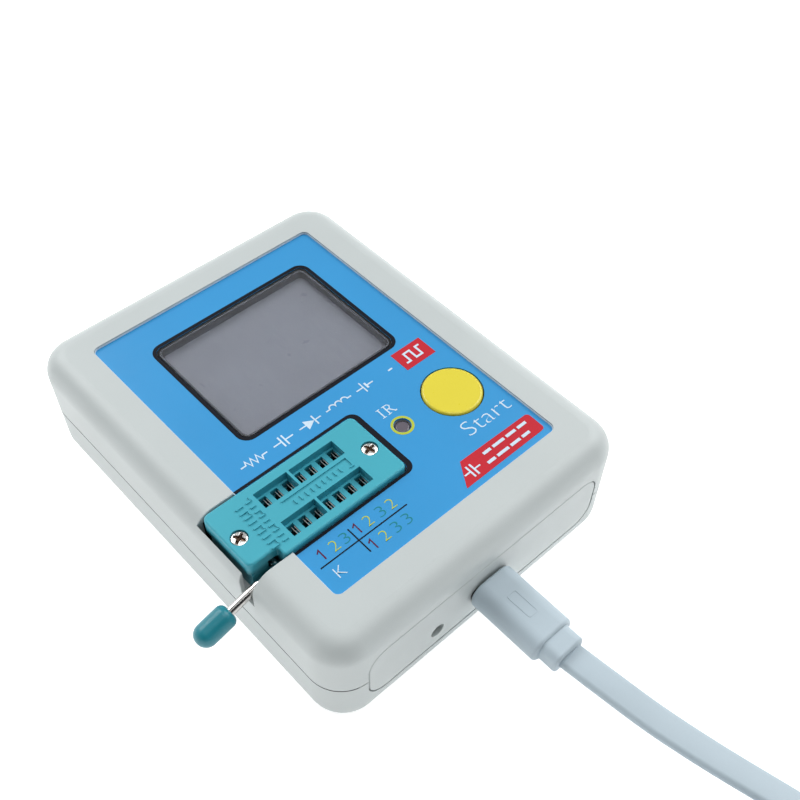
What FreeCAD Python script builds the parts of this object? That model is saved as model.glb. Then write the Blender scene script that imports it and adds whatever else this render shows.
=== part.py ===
"""Handheld component tester with its zero-insertion-force test socket and USB charging lead.

Millimetres. The origin is the centre of the case's bottom face, +Z is up, +X is to the right of
a user who reads the label, and +Y points to the display end.
"""

import FreeCAD
import Part
import Sketcher
import math
import os
import re

DOC = FreeCAD.newDocument("ComponentTester")
VECTOR = FreeCAD.Vector

# ---------------------------------------------------------------- driving dimensions

SIZES = {
    "case": {
        "case_width": 70.0,
        "case_length": 90.0,
        "case_height": 26.1,
        "corner_radius": 7.0,
        "top_round": 4.4,
        "bottom_round": 5.5,
        "wall": 2.0,
        "roof_thickness": 2.2,
        "floor_thickness": 2.2,
        "seam_height": 13.0,
        "seam_gap": 0.3,
        "lip_depth": 0.95,
        "lip_height": 1.3,
        "lip_play": 0.1,
    },
    "end_panels": {
        "panel_width": 56.0,
        "panel_height": 13.2,
        "panel_middle": 13.1,
        "panel_radius": 4.0,
        "panel_play": 0.2,
        "panel_edge": 0.3,
        "flange_thickness": 1.0,
        "flange_border": 1.5,
        "led_x": -12.3,
        "led_z": 10.7,
        "led_hole": 3.0,
    },
    "label": {
        "label_width": 52.0,
        "label_length": 71.8,
        "label_y": 0.8,
        "label_radius": 1.2,
        "label_recess": 1.0,
        "label_thickness": 0.4,
        "label_play": 0.15,
    },
    "display": {
        "window_x": 0.8,
        "window_y": 14.9,
        "window_width": 36.2,
        "window_length": 28.8,
        "window_radius": 1.6,
        "window_thickness": 0.35,
        "glass_width": 44.0,
        "glass_length": 33.0,
        "glass_thickness": 0.8,
        "glass_top": 23.3,
        "frame_thickness": 2.4,
        "frame_border": 1.0,
    },
    "board": {
        "board_width": 64.0,
        "board_length": 82.4,
        "board_radius": 4.0,
        "board_bottom": 12.4,
        "board_thickness": 1.6,
        "post_x": 28.5,
        "post_y": 36.5,
        "post_diameter": 8.0,
        "screw_diameter": 2.9,
        "screw_play": 0.1,
        "screw_head": 5.2,
        "screw_head_height": 2.0,
        "counterbore": 6.0,
        "counterbore_depth": 4.6,
        "screw_length": 14.0,
    },
    "button": {
        "button_x": 18.4,
        "button_y": -16.0,
        "button_diameter": 11.6,
        "button_hole": 12.1,
        "button_rim_top": 25.25,
        "button_dome": 0.55,
        "button_flange": 13.8,
        "button_flange_top": 23.3,
        "button_flange_height": 1.2,
        "stem_diameter": 4.0,
        "switch_side": 6.0,
        "switch_height": 3.6,
        "plunger_diameter": 3.4,
        "plunger_top": 19.2,
        "plunger_length": 3.0,
    },
    "infrared": {
        "infrared_x": 5.95,
        "infrared_y": -15.8,
        "infrared_hole": 3.3,
        "infrared_side": 5.4,
        "infrared_height": 8.5,
        "infrared_dome": 3.1,
        "infrared_top": 25.1,
    },
    "socket": {
        "cover_left": -33.4,
        "cover_front": -23.7,
        "cover_width": 33.3,
        "cover_length": 15.2,
        "cover_top": 26.6,
        "cover_height": 3.2,
        "cover_radius": 1.2,
        "cover_edge": 0.45,
        "notch_width": 5.9,
        "notch_length": 2.1,
        "notch_corner": 1.2,
        "notch_heel": 0.6,
        "slot_left": -24.1,
        "slot_width": 17.6,
        "slot_length": 3.7,
        "slot_rib": 0.5,
        "pin_pitch": 2.54,
        "pin_rows": 7.62,
        "pin_first_x": -22.94,
        "pin_middle_y": -16.24,
        "pin_count": 7.0,
        "opening_left": -34.2,
        "opening_front": -23.85,
        "opening_width": 34.5,
        "opening_length": 15.95,
        "opening_bottom": 18.6,
        "lever_notch": 3.4,
        "lip_round": 0.2,
        "lever_x": -28.6,
        "lever_y": -22.65,
        "lever_z": 22.9,
        "lever_droop": 16.5,
        "rod_diameter": 1.7,
        "rod_reach": 13.0,
        "shaft_diameter": 1.6,
        "shaft_length": 11.4,
        "shaft_room": 2.2,
        "shaft_room_depth": 1.5,
        "shaft_room_rise": 0.95,
        "arm_room_depth": 4.0,
        "knob_start": 10.65,
        "knob_length": 7.45,
        "knob_diameter": 4.4,
        "slider_x": -15.75,
        "slider_y": -16.09,
        "slider_width": 23.0,
        "slider_length": 11.0,
        "slider_thickness": 2.6,
        "slider_play": 0.2,
        "well_x": -15.2,
        "well_width": 24.8,
        "well_length": 11.4,
        "well_depth": 3.0,
        "leaf_width": 1.6,
        "leaf_thickness": 0.25,
        "leaf_drop": 1.6,
        "pin_side": 0.5,
        "pin_reach": 1.6,
        "screw_left_x": -31.05,
        "screw_left_y": -16.0,
        "screw_right_x": -2.55,
        "screw_right_y": -16.4,
        "cover_screw_head": 3.0,
        "cover_screw_seat": 3.2,
        "cover_screw_shank": 1.6,
        "cross_length": 2.1,
        "cross_width": 0.5,
        "cross_depth": 0.7,
    },
    "power": {
        "port_z": 12.9,
        "port_width": 7.5,
        "port_height": 2.5,
        "port_length": 5.2,
        "port_skin": 0.25,
        "port_front": -43.9,
        "plug_skin": 0.25,
        "plug_width": 6.85,
        "plug_height": 1.85,
        "plug_reach": 4.7,
        "overmould_front": -45.3,
        "overmould_length": 15.2,
        "overmould_width": 9.65,
        "overmould_height": 6.2,
        "overmould_radius": 2.8,
        "collar_length": 3.7,
        "collar_width": 7.15,
        "collar_height": 5.1,
        "collar_radius": 1.7,
        "battery_length": 40.0,
        "battery_width": 30.0,
        "battery_height": 5.6,
        "battery_y": 6.0,
    },
    "lead": {
        "cable_width": 5.4,
        "cable_thickness": 2.0,
        "coil_x": -10.0,
        "coil_y": -135.0,
        "coil_base": 0.7,
        "coil_inner": 23.5,
        "coil_pitch": 2.2,
        "coil_turns": 3.5,
        "usb_width": 12.0,
        "usb_height": 4.5,
        "usb_reach": 12.0,
        "usb_skin": 0.35,
        "grip_length": 24.0,
        "grip_width": 15.4,
        "grip_height": 8.0,
        "tail_length": 24.0,
    },
}

VALUE = {alias: value for group in SIZES.values() for alias, value in group.items()}


def write_sheet():
    """Fills the spreadsheet with one row for each driving dimension."""
    sheet = DOC.addObject("Spreadsheet::Sheet", "Sizes")
    row = 1
    for group, sizes in SIZES.items():
        sheet.set(f"A{row}", group)
        row += 1
        for alias, value in sizes.items():
            sheet.set(f"A{row}", alias)
            sheet.set(f"B{row}", str(value))
            sheet.setAlias(f"B{row}", alias)
            row += 1
    DOC.recompute()


def formula(text):
    """A size written with the sheet's aliases, as an expression that FreeCAD can follow."""
    words = re.compile(r"[a-z][a-z0-9_]*")
    return words.sub(lambda m: "Sizes." + m.group(0) if m.group(0) in VALUE else m.group(0), str(text))


def bind(thing, **properties):
    """Binds properties of an object; a double underscore stands for a dot."""
    for name, text in properties.items():
        thing.setExpression(name.replace("__", "."), formula(text))


def place(thing, x="0", y="0", z="0"):
    bind(thing, Placement__Base__x=x, Placement__Base__y=y, Placement__Base__z=z)


NODES = []


def node(label, thing):
    """Gives a finished sub-part its label, which names its file."""
    thing.Label = label
    NODES.append(thing)
    return thing


# ---------------------------------------------------------------- Part primitives


def box(name, x, y, z, dx, dy, dz):
    """A box from its low corner and its three sides."""
    solid = DOC.addObject("Part::Box", name)
    bind(solid, Length=dx, Width=dy, Height=dz)
    place(solid, x, y, z)
    return solid


def cylinder(name, diameter, height, x, y, z):
    solid = DOC.addObject("Part::Cylinder", name)
    bind(solid, Radius=f"({diameter}) / 2", Height=height)
    place(solid, x, y, z)
    return solid


def combined(kind, name, shapes):
    """A Part::MultiFuse or a Part::Compound of several shapes."""
    result = DOC.addObject(kind, name)
    if kind == "Part::Compound":
        result.Links = shapes
    else:
        result.Shapes = shapes
    return result


def cut(name, base, tool):
    result = DOC.addObject("Part::Cut", name)
    result.Base = base
    result.Tool = tool
    return result


def rounded(name, base, radius, wanted):
    """Fillets the edges of a primitive for which wanted(edge) is true."""
    DOC.recompute()
    result = DOC.addObject("Part::Fillet", name)
    result.Base = base
    result.Edges = [
        (number, radius, radius) for number, edge in enumerate(base.Shape.Edges, 1) if wanted(edge)
    ]
    return result


def along(axis):
    """A test for straight edges that run along an axis, 0 for X, 1 for Y and 2 for Z."""

    def test(edge):
        if not isinstance(edge.Curve, Part.Line):
            return False
        return abs(abs(edge.Curve.Direction[axis]) - 1.0) < 1e-6

    return test


# ---------------------------------------------------------------- PartDesign features


def new_body(name):
    return DOC.addObject("PartDesign::Body", name)


def sketch_on(body, name, plane="XY_Plane", x="0", y="0", z="0"):
    """A sketch on one of the body's own origin planes, moved by an offset in the plane's own axes."""
    sketch = body.newObject("Sketcher::SketchObject", name)
    support = next(f for f in body.Origin.OriginFeatures if f.Role == plane)
    sketch.AttachmentSupport = [(support, "")]
    sketch.MapMode = "FlatFace"
    bind(sketch, AttachmentOffset__Base__x=x, AttachmentOffset__Base__y=y, AttachmentOffset__Base__z=z)
    return sketch


def dimension(sketch, kind, first, end_a, second, end_b, text):
    """A distance constraint whose value follows the sheet."""
    constraint = Sketcher.Constraint(kind, first, end_a, second, end_b, evaluate(text))
    index = sketch.addConstraint(constraint)
    sketch.setExpression(f"Constraints[{index}]", formula(text))


def evaluate(text):
    """The value that a formula has now, used only as a sketch's starting shape."""
    sheet = DOC.getObject("Sizes")
    value = sheet.evalExpression(formula(text))
    return float(getattr(value, "Value", value))


def rectangle(sketch, width, length):
    """A rectangle centred on the sketch's origin."""
    across = evaluate(width) / 2
    up = evaluate(length) / 2
    corners = [(-across, -up), (across, -up), (across, up), (-across, up)]
    first = sketch.GeometryCount
    for number in range(4):
        start = VECTOR(*corners[number], 0)
        end = VECTOR(*corners[(number + 1) % 4], 0)
        sketch.addGeometry(Part.LineSegment(start, end), False)
    for number in range(4):
        following = first + (number + 1) % 4
        sketch.addConstraint(Sketcher.Constraint("Coincident", first + number, 2, following, 1))
    sketch.addConstraint(Sketcher.Constraint("Horizontal", first))
    sketch.addConstraint(Sketcher.Constraint("Horizontal", first + 2))
    sketch.addConstraint(Sketcher.Constraint("Vertical", first + 1))
    sketch.addConstraint(Sketcher.Constraint("Vertical", first + 3))
    sketch.addConstraint(Sketcher.Constraint("Symmetric", first, 1, first + 1, 2, -1, 1))
    dimension(sketch, "DistanceX", first, 1, first, 2, width)
    dimension(sketch, "DistanceY", first + 1, 1, first + 1, 2, length)


def rounded_rectangle(sketch, width, length, radius):
    """A rectangle centred on the sketch's origin, its corners round."""
    across = evaluate(width) / 2
    up = evaluate(length) / 2
    bend = evaluate(radius)
    flat_x = across - bend
    flat_y = up - bend
    sides = [
        ((-flat_x, -up), (flat_x, -up)),
        ((across, -flat_y), (across, flat_y)),
        ((flat_x, up), (-flat_x, up)),
        ((-across, flat_y), (-across, -flat_y)),
    ]
    centres = [(flat_x, -flat_y), (flat_x, flat_y), (-flat_x, flat_y), (-flat_x, -flat_y)]
    for start, end in sides:
        sketch.addGeometry(Part.LineSegment(VECTOR(*start, 0), VECTOR(*end, 0)), False)
    for number, centre in enumerate(centres):
        circle = Part.Circle(VECTOR(*centre, 0), VECTOR(0, 0, 1), bend)
        begin = math.radians(-90 + 90 * number)
        sketch.addGeometry(Part.ArcOfCircle(circle, begin, begin + math.pi / 2), False)
    for number in range(4):
        following = (number + 1) % 4
        sketch.addConstraint(Sketcher.Constraint("Tangent", number, 2, 4 + number, 1))
        sketch.addConstraint(Sketcher.Constraint("Tangent", 4 + number, 2, following, 1))
    for number in range(1, 4):
        sketch.addConstraint(Sketcher.Constraint("Equal", 4, 4 + number))
    sketch.addConstraint(Sketcher.Constraint("Horizontal", 0))
    sketch.addConstraint(Sketcher.Constraint("Vertical", 1))
    sketch.addConstraint(Sketcher.Constraint("Symmetric", 4, 3, 6, 3, -1, 1))
    dimension(sketch, "DistanceX", 7, 3, 4, 3, f"({width}) - 2 * ({radius})")
    dimension(sketch, "DistanceY", 4, 3, 5, 3, f"({length}) - 2 * ({radius})")
    index = sketch.addConstraint(Sketcher.Constraint("Radius", 4, bend))
    sketch.setExpression(f"Constraints[{index}]", formula(radius))


def circle_at(sketch, diameter):
    """A circle centred on the sketch's origin."""
    number = sketch.GeometryCount
    radius = evaluate(diameter) / 2
    sketch.addGeometry(Part.Circle(VECTOR(0, 0, 0), VECTOR(0, 0, 1), radius), False)
    sketch.addConstraint(Sketcher.Constraint("Coincident", number, 3, -1, 1))
    index = sketch.addConstraint(Sketcher.Constraint("Radius", number, radius))
    sketch.setExpression(f"Constraints[{index}]", formula(f"({diameter}) / 2"))


def extrude(body, kind, name, sketch, length, reverse=False, both_ways=False):
    """A Pad or a Pocket of a sketch, with a check that it changed the solid the right way."""
    before = body.Shape.Volume if body.Tip else 0.0
    feature = body.newObject("PartDesign::" + kind, name)
    feature.Profile = sketch
    bind(feature, Length=length)
    feature.Reversed = reverse
    feature.Midplane = both_ways
    sketch.Visibility = False
    DOC.recompute()
    gained = body.Shape.Volume - before
    if (gained > 1e-3) != (kind == "Pad") or abs(gained) < 1e-3:
        raise RuntimeError(f"{name} changed the volume of {body.Name} by {gained:.4f}")
    return feature


def pad(body, name, sketch, length, reverse=False):
    return extrude(body, "Pad", name, sketch, length, reverse)


def pocket(body, name, sketch, length, reverse=False, both_ways=False):
    return extrude(body, "Pocket", name, sketch, length, reverse, both_ways)


def fillet(body, name, base, radius, wanted):
    """Rounds the edges of the body's last feature for which wanted(edge) is true."""
    edges = [f"Edge{n}" for n, edge in enumerate(base.Shape.Edges, 1) if wanted(edge)]
    feature = body.newObject("PartDesign::Fillet", name)
    feature.Base = (base, edges)
    bind(feature, Radius=radius)
    DOC.recompute()
    return feature


def in_plane(axis, value):
    """A test for edges that lie in the plane square to an axis, 0 for X, 1 for Y and 2 for Z."""

    def test(edge):
        return all(abs(vertex.Point[axis] - value) < 1e-6 for vertex in edge.Vertexes)

    return test


def at_height(height):
    return in_plane(2, height)


def upright_at(x, y):
    """A test for the upright edge that stands at a place."""
    wanted_x = evaluate(x)
    wanted_y = evaluate(y)

    def test(edge):
        return all(
            abs(vertex.X - wanted_x) < 1e-4 and abs(vertex.Y - wanted_y) < 1e-4
            for vertex in edge.Vertexes
        )

    return test


def end_edges(edge):
    """True for edges that lie in a plane square to Y, such as the rims of a part's two ends."""
    places = [vertex.Y for vertex in edge.Vertexes]
    return max(places) - min(places) < 1e-6


# ---------------------------------------------------------------- case


def case_ring(body, name, height, inset, x="0", y="0"):
    """A sketch of the case's outline, set in by a distance, at a height."""
    sketch = sketch_on(body, name, x=x, y=y, z=height)
    rounded_rectangle(
        sketch,
        f"case_width - 2 * ({inset})",
        f"case_length - 2 * ({inset})",
        f"corner_radius - ({inset})",
    )
    return sketch


def cut_end_windows(body, name):
    """The window at both ends of the case that the end panels close."""
    sketch = sketch_on(body, name + "Outline", plane="XZ_Plane", y="panel_middle")
    rounded_rectangle(
        sketch,
        "panel_width + 2 * panel_play",
        "panel_height + 2 * panel_play",
        "panel_radius + panel_play",
    )
    pocket(body, name, sketch, "case_length + 10", both_ways=True)


def round_hole(body, name, diameter, x, y, z, depth, reverse=False):
    sketch = sketch_on(body, name + "Outline", x=x, y=y, z=z)
    circle_at(sketch, diameter)
    pocket(body, name, sketch, depth, reverse)


def on_opening_lip(edge):
    """True for the outside edges of the socket's opening and of the lever's notch."""
    front = VALUE["opening_front"]
    sides = (front, front + VALUE["lever_notch"], front + VALUE["opening_length"])
    if not any(in_plane(1, side)(edge) for side in sides):
        return False
    on_top = at_height(VALUE["case_height"])(edge)
    on_wall = in_plane(0, -VALUE["case_width"] / 2)(edge)
    return on_top or on_wall or isinstance(edge.Curve, Part.Circle)


CORNERS = [(-1, -1), (1, -1), (1, 1), (-1, 1)]


def make_top_shell():
    body = new_body("TopShell")
    start = "seam_height + seam_gap / 2"
    outline = case_ring(body, "TopOutline", start, "0")
    block = pad(body, "TopBlock", outline, f"case_height - ({start})")
    fillet(body, "TopRound", block, "top_round", at_height(VALUE["case_height"]))
    inside = case_ring(body, "TopInside", start, "wall")
    pocket(body, "TopHollow", inside, f"case_height - roof_thickness - ({start})", reverse=True)
    rebate = case_ring(body, "TopRebateOutline", start, "wall - lip_depth - lip_play")
    pocket(body, "TopRebate", rebate, "lip_height + lip_play - seam_gap / 2", reverse=True)
    cut_end_windows(body, "TopEndWindows")

    recess = sketch_on(body, "LabelRecessOutline", y="label_y", z="case_height")
    rounded_rectangle(
        recess,
        "label_width + 2 * label_play",
        "label_length + 2 * label_play",
        "label_radius + label_play",
    )
    pocket(body, "LabelRecess", recess, "label_recess")
    display = sketch_on(body, "DisplayHoleOutline", x="window_x", y="window_y", z="case_height")
    rounded_rectangle(display, "window_width - 0.6", "window_length - 0.6", "window_radius")
    pocket(body, "DisplayHole", display, "roof_thickness + 1")
    above = "case_height"
    round_hole(body, "ButtonHole", "button_hole", "button_x", "button_y", above, "roof_thickness + 1")
    round_hole(
        body, "InfraredHole", "infrared_hole", "infrared_x", "infrared_y", above, "roof_thickness + 1"
    )
    opening = sketch_on(
        body,
        "SocketOpeningOutline",
        x="opening_left + opening_width / 2",
        y="opening_front + opening_length / 2",
        z="case_height",
    )
    rectangle(opening, "opening_width", "opening_length")
    pocket(body, "SocketOpening", opening, "case_height - opening_bottom")
    notch = sketch_on(
        body,
        "LeverNotchOutline",
        x="-case_width / 2",
        y="opening_front + lever_notch / 2",
        z="case_height",
    )
    rectangle(notch, "6.0", "lever_notch")
    notched = pocket(body, "LeverNotch", notch, "case_height - opening_bottom")
    fillet(body, "OpeningLip", notched, "lip_round", on_opening_lip)

    post_bottom = "board_bottom + board_thickness"
    for number, (side, end) in enumerate(CORNERS):
        x = f"{side} * post_x"
        y = f"{end} * post_y"
        post = sketch_on(body, f"TopPost{number}Outline", x=x, y=y, z=post_bottom)
        circle_at(post, "post_diameter")
        circle_at(post, "screw_diameter + screw_play")
        length = f"case_height - roof_thickness - ({post_bottom}) + 0.5"
        pad(body, f"TopPost{number}", post, length)
    node("top_shell", body)


def make_bottom_shell():
    body = new_body("BottomShell")
    top = "seam_height - seam_gap / 2"
    outline = case_ring(body, "BottomOutline", "0", "0")
    block = pad(body, "BottomBlock", outline, top)
    fillet(body, "BottomRound", block, "bottom_round", at_height(0.0))
    lip = case_ring(body, "LipOutline", f"{top} - 1", "wall - lip_depth")
    pad(body, "Lip", lip, "lip_height + 1")
    inside = case_ring(body, "BottomInside", "seam_height + lip_height + 1", "wall")
    pocket(body, "BottomHollow", inside, "seam_height + lip_height + 1 - floor_thickness")
    cut_end_windows(body, "BottomEndWindows")
    for number, (side, end) in enumerate(CORNERS):
        x = f"{side} * post_x"
        y = f"{end} * post_y"
        post = sketch_on(body, f"BottomPost{number}Outline", x=x, y=y, z="floor_thickness - 1")
        circle_at(post, "post_diameter")
        pad(body, f"BottomPost{number}", post, "board_bottom - floor_thickness + 1")
        round_hole(
            body, f"Counterbore{number}", "counterbore", x, y, "0", "counterbore_depth", reverse=True
        )
        round_hole(
            body,
            f"ScrewHole{number}",
            "screw_diameter + 2 * screw_play",
            x,
            y,
            "0",
            "board_bottom + 1",
            reverse=True,
        )
    node("bottom_shell", body)


def make_end_panel(label, name, end):
    """One of the two flat panels that slide into the case's ends; end is -1 at the USB end."""
    body = new_body(name)
    depth = f"-({end}) * (case_length / 2 - wall)"
    plate = sketch_on(body, name + "Outline", plane="XZ_Plane", y="panel_middle", z=depth)
    rounded_rectangle(plate, "panel_width", "panel_height", "panel_radius")
    slab = pad(body, name + "Plate", plate, "wall", reverse=end > 0)
    face = end * VALUE["case_length"] / 2
    fillet(body, name + "Edge", slab, "panel_edge", in_plane(1, face))
    back = sketch_on(body, name + "FlangeOutline", plane="XZ_Plane", y="panel_middle", z=depth)
    rounded_rectangle(
        back,
        "panel_width",
        "panel_height + 2 * flange_border",
        "panel_radius",
    )
    pad(body, name + "Flange", back, "flange_thickness", reverse=end < 0)
    if end < 0:
        port = sketch_on(body, "PortHoleOutline", plane="XZ_Plane", y="port_z", z=depth)
        rounded_rectangle(port, "port_width + 1.2", "port_height + 1.0", "1.6")
        pocket(body, "PortHole", port, "4 * wall", both_ways=True)
        led = sketch_on(body, "LedHoleOutline", plane="XZ_Plane", x="led_x", y="led_z", z=depth)
        circle_at(led, "led_hole")
        pocket(body, "LedHole", led, "4 * wall", both_ways=True)
    node(label, body)


def make_label():
    body = new_body("FrontLabel")
    bottom = "case_height - label_recess"
    sheet = sketch_on(body, "LabelOutline", y="label_y", z=bottom)
    rounded_rectangle(sheet, "label_width", "label_length", "label_radius")
    pad(body, "LabelSheet", sheet, "label_thickness")
    above = f"{bottom} + label_thickness"
    window = sketch_on(body, "LabelWindowOutline", x="window_x", y="window_y", z=above)
    rounded_rectangle(window, "window_width + 0.1", "window_length + 0.1", "window_radius")
    pocket(body, "LabelWindow", window, "1")
    round_hole(body, "LabelButtonHole", "button_hole", "button_x", "button_y", above, "1")
    round_hole(body, "LabelInfraredHole", "infrared_hole", "infrared_x", "infrared_y", above, "1")
    opening = sketch_on(
        body,
        "LabelSocketOutline",
        x="opening_left + opening_width / 2",
        y="opening_front + opening_length / 2",
        z=above,
    )
    rounded_rectangle(opening, "opening_width", "opening_length", "cover_radius")
    pocket(body, "LabelSocketHole", opening, "1")
    node("front_label", body)


def make_case_screws():
    screws = []
    head_z = "counterbore_depth - screw_head_height"
    for number, (side, end) in enumerate(CORNERS):
        x = f"{side} * post_x"
        y = f"{end} * post_y"
        head = cylinder(f"ScrewHead{number}", "screw_head", "screw_head_height", x, y, head_z)
        shank = cylinder(
            f"ScrewShank{number}", "screw_diameter", "screw_length", x, y, "counterbore_depth - 0.1"
        )
        whole = combined("Part::MultiFuse", f"ScrewBlank{number}", [head, shank])
        slots = [
            box(f"ScrewSlotA{number}", f"{x} - 1.5", f"{y} - 0.3", f"{head_z} - 1", "3.0", "0.6", "2.0"),
            box(f"ScrewSlotB{number}", f"{x} - 0.3", f"{y} - 1.5", f"{head_z} - 1", "0.6", "3.0", "2.0"),
        ]
        cross = combined("Part::MultiFuse", f"ScrewCross{number}", slots)
        screws.append(cut(f"CaseScrew{number}", whole, cross))
    node("case_screws", combined("Part::Compound", "CaseScrews", screws))


# ---------------------------------------------------------------- display


def make_display():
    window = new_body("DisplayWindow")
    sill = "case_height - label_recess"
    outline = sketch_on(window, "WindowOutline", x="window_x", y="window_y", z=sill)
    rounded_rectangle(outline, "window_width", "window_length", "window_radius")
    pad(window, "WindowSheet", outline, "window_thickness")
    node("display_window", window)

    glass = box(
        "DisplayGlass",
        "window_x - glass_width / 2",
        "window_y - glass_length / 2",
        "glass_top - glass_thickness",
        "glass_width",
        "glass_length",
        "glass_thickness",
    )
    node("display_glass", glass)

    frame = new_body("DisplayFrame")
    outer = sketch_on(frame, "FrameOutline", x="window_x", y="window_y", z="glass_top")
    rounded_rectangle(outer, "glass_width + 2 * frame_border", "glass_length + 2 * frame_border", "0.8")
    pad(frame, "FrameBlock", outer, "frame_thickness", reverse=True)
    seat = sketch_on(frame, "FrameSeatOutline", x="window_x", y="window_y", z="glass_top")
    rectangle(seat, "glass_width + 0.2", "glass_length + 0.2")
    pocket(frame, "FrameSeat", seat, "glass_thickness")
    node("display_frame", frame)

    foam_z = "board_bottom + board_thickness"
    foam_height = f"glass_top - frame_thickness - ({foam_z})"
    strips = []
    for number, side in enumerate((-1, 1)):
        x = f"window_x + {side} * 17 - 2.5"
        strips.append(box(f"FoamStrip{number}", x, "window_y - 12", foam_z, "5", "24", foam_height))
    node("display_foam", combined("Part::Compound", "DisplayFoam", strips))

    flex_y = "window_y + glass_length / 2 + frame_border + 0.2"
    upright = box("FlexUpright", "window_x - 7", flex_y, foam_z, "14", "0.3", f"{foam_height} + 1.5")
    foot = box("FlexFoot", "window_x - 7", flex_y, foam_z, "14", "4", "0.3")
    node("display_flex", combined("Part::MultiFuse", "DisplayFlex", [upright, foot]))


# ---------------------------------------------------------------- board


def make_board():
    body = new_body("MainBoard")
    outline = sketch_on(body, "BoardOutline", z="board_bottom")
    rounded_rectangle(outline, "board_width", "board_length", "board_radius")
    pad(body, "BoardBlank", outline, "board_thickness")
    above = "board_bottom + board_thickness"
    for number, (side, end) in enumerate(CORNERS):
        round_hole(
            body,
            f"BoardHole{number}",
            "screw_diameter + 3 * screw_play",
            f"{side} * post_x",
            f"{end} * post_y",
            above,
            "board_thickness + 1",
        )
    for number, row in enumerate((-1, 1)):
        slot = sketch_on(
            body,
            f"BoardPinSlot{number}Outline",
            x="pin_first_x + 3 * pin_pitch",
            y=f"pin_middle_y + {row} * pin_rows / 2",
            z=above,
        )
        rectangle(slot, "7 * pin_pitch", "1.0")
        pocket(body, f"BoardPinSlot{number}", slot, "board_thickness + 1")
    notch = sketch_on(
        body,
        "PortNotchOutline",
        y="port_front + port_length + 0.2 - port_length / 2",
        z=above,
    )
    rectangle(notch, "port_width + 0.4", "port_length")
    pocket(body, "PortNotch", notch, "board_thickness + 1")
    node("main_board", body)


def make_chips():
    chip_x = 15.0
    chip_y = -5.5
    side = 7.0
    z = "board_bottom - 1.3"
    body = box("Processor", chip_x - side / 2, chip_y - side / 2, z, side, side, "1.2")
    node("microcontroller", body)
    legs = []
    for number in range(8):
        step = -2.8 + 0.8 * number
        for name, x, y, dx, dy in (
            ("A", chip_x + step - 0.15, chip_y - side / 2 - 1.0, 0.3, 0.9),
            ("B", chip_x + step - 0.15, chip_y + side / 2 + 0.1, 0.3, 0.9),
            ("C", chip_x - side / 2 - 1.0, chip_y + step - 0.15, 0.9, 0.3),
            ("D", chip_x + side / 2 + 0.1, chip_y + step - 0.15, 0.9, 0.3),
        ):
            legs.append(box(f"Leg{name}{number}", x, y, "board_bottom - 0.35", dx, dy, "0.3"))
    node("microcontroller_legs", combined("Part::Compound", "ProcessorLegs", legs))

    can = box("CrystalCan", 22.0, -14.0, "board_bottom - 3.6", 11.0 * 0.4, 11.0, "3.5")
    node("crystal", rounded("Crystal", can, 1.9, along(2)))

    chips = []
    places = [
        (-24.0, 26.0, 5.0, 4.0),
        (-15.0, 28.0, 3.0, 1.7),
        (18.0, 28.0, 5.0, 6.0),
        (-3.0, -33.0, 3.0, 1.7),
    ]
    for number, (x, y, dx, dy) in enumerate(places):
        chips.append(box(f"SmallChip{number}", x, y, "board_bottom - 1.6", dx, dy, "1.5"))
    for number in range(8):
        left = -26.0 + 2.4 * number
        chips.append(box(f"Resistor{number}", left, -31.0, "board_bottom - 0.6", 1.2, 2.0, 0.5))
    node("small_parts", combined("Part::Compound", "SmallParts", chips))


# ---------------------------------------------------------------- start button and infrared receiver


def make_button():
    body = new_body("StartButton")
    x = "button_x"
    y = "button_y"
    disc = sketch_on(body, "ButtonDiscOutline", x=x, y=y, z="button_flange_top - 1")
    circle_at(disc, "button_diameter")
    crown = "button_rim_top + button_dome - button_flange_top + 1"
    block = pad(body, "ButtonDisc", disc, crown)
    fillet(
        body,
        "ButtonCrown",
        block,
        "button_dome",
        at_height(evaluate("button_rim_top + button_dome")),
    )
    flange = sketch_on(body, "ButtonFlangeOutline", x=x, y=y, z="button_flange_top")
    circle_at(flange, "button_flange")
    pad(body, "ButtonFlange", flange, "button_flange_height", reverse=True)
    stem = sketch_on(body, "ButtonStemOutline", x=x, y=y, z="button_flange_top")
    circle_at(stem, "stem_diameter")
    pad(body, "ButtonStem", stem, "button_flange_top - plunger_top", reverse=True)
    node("start_button", body)

    base_z = "board_bottom + board_thickness"
    housing = box(
        "SwitchBlock",
        "button_x - switch_side / 2",
        "button_y - switch_side / 2",
        base_z,
        "switch_side",
        "switch_side",
        "switch_height",
    )
    bore = cylinder("SwitchBore", "plunger_diameter + 0.2", "switch_height", x, y, f"{base_z} + 1.4")
    node("tact_switch", cut("TactSwitch", housing, bore))
    plunger = cylinder(
        "TactPlunger", "plunger_diameter", "plunger_length", x, y, "plunger_top - plunger_length"
    )
    node("tact_plunger", plunger)


def make_infrared():
    base_z = "board_bottom + board_thickness"
    half = "infrared_side / 2"
    block = box(
        "InfraredBlock",
        f"infrared_x - {half}",
        f"infrared_y - {half} + 0.6",
        f"{base_z} + 1",
        "infrared_side",
        "infrared_side - 1.2",
        "infrared_height",
    )
    bottom = f"{base_z} + 1"
    height = f"infrared_top - ({bottom})"
    column = cylinder("InfraredColumn", "infrared_dome", height, "infrared_x", "infrared_y", bottom)
    dome = rounded("InfraredDome", column, 0.6, at_height(VALUE["infrared_top"]))
    node("infrared_receiver", combined("Part::MultiFuse", "InfraredReceiver", [block, dome]))
    pins = []
    for number in range(3):
        x = f"infrared_x + {number - 1} * pin_pitch / 2 - 0.2"
        pins.append(box(f"InfraredPin{number}", x, "infrared_y - 0.2", base_z, "0.4", "0.4", "1"))
    node("infrared_pins", combined("Part::Compound", "InfraredPins", pins))


# ---------------------------------------------------------------- zero-insertion-force socket

COVER_SCREWS = [("screw_left_x", "screw_left_y"), ("screw_right_x", "screw_right_y")]


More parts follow.
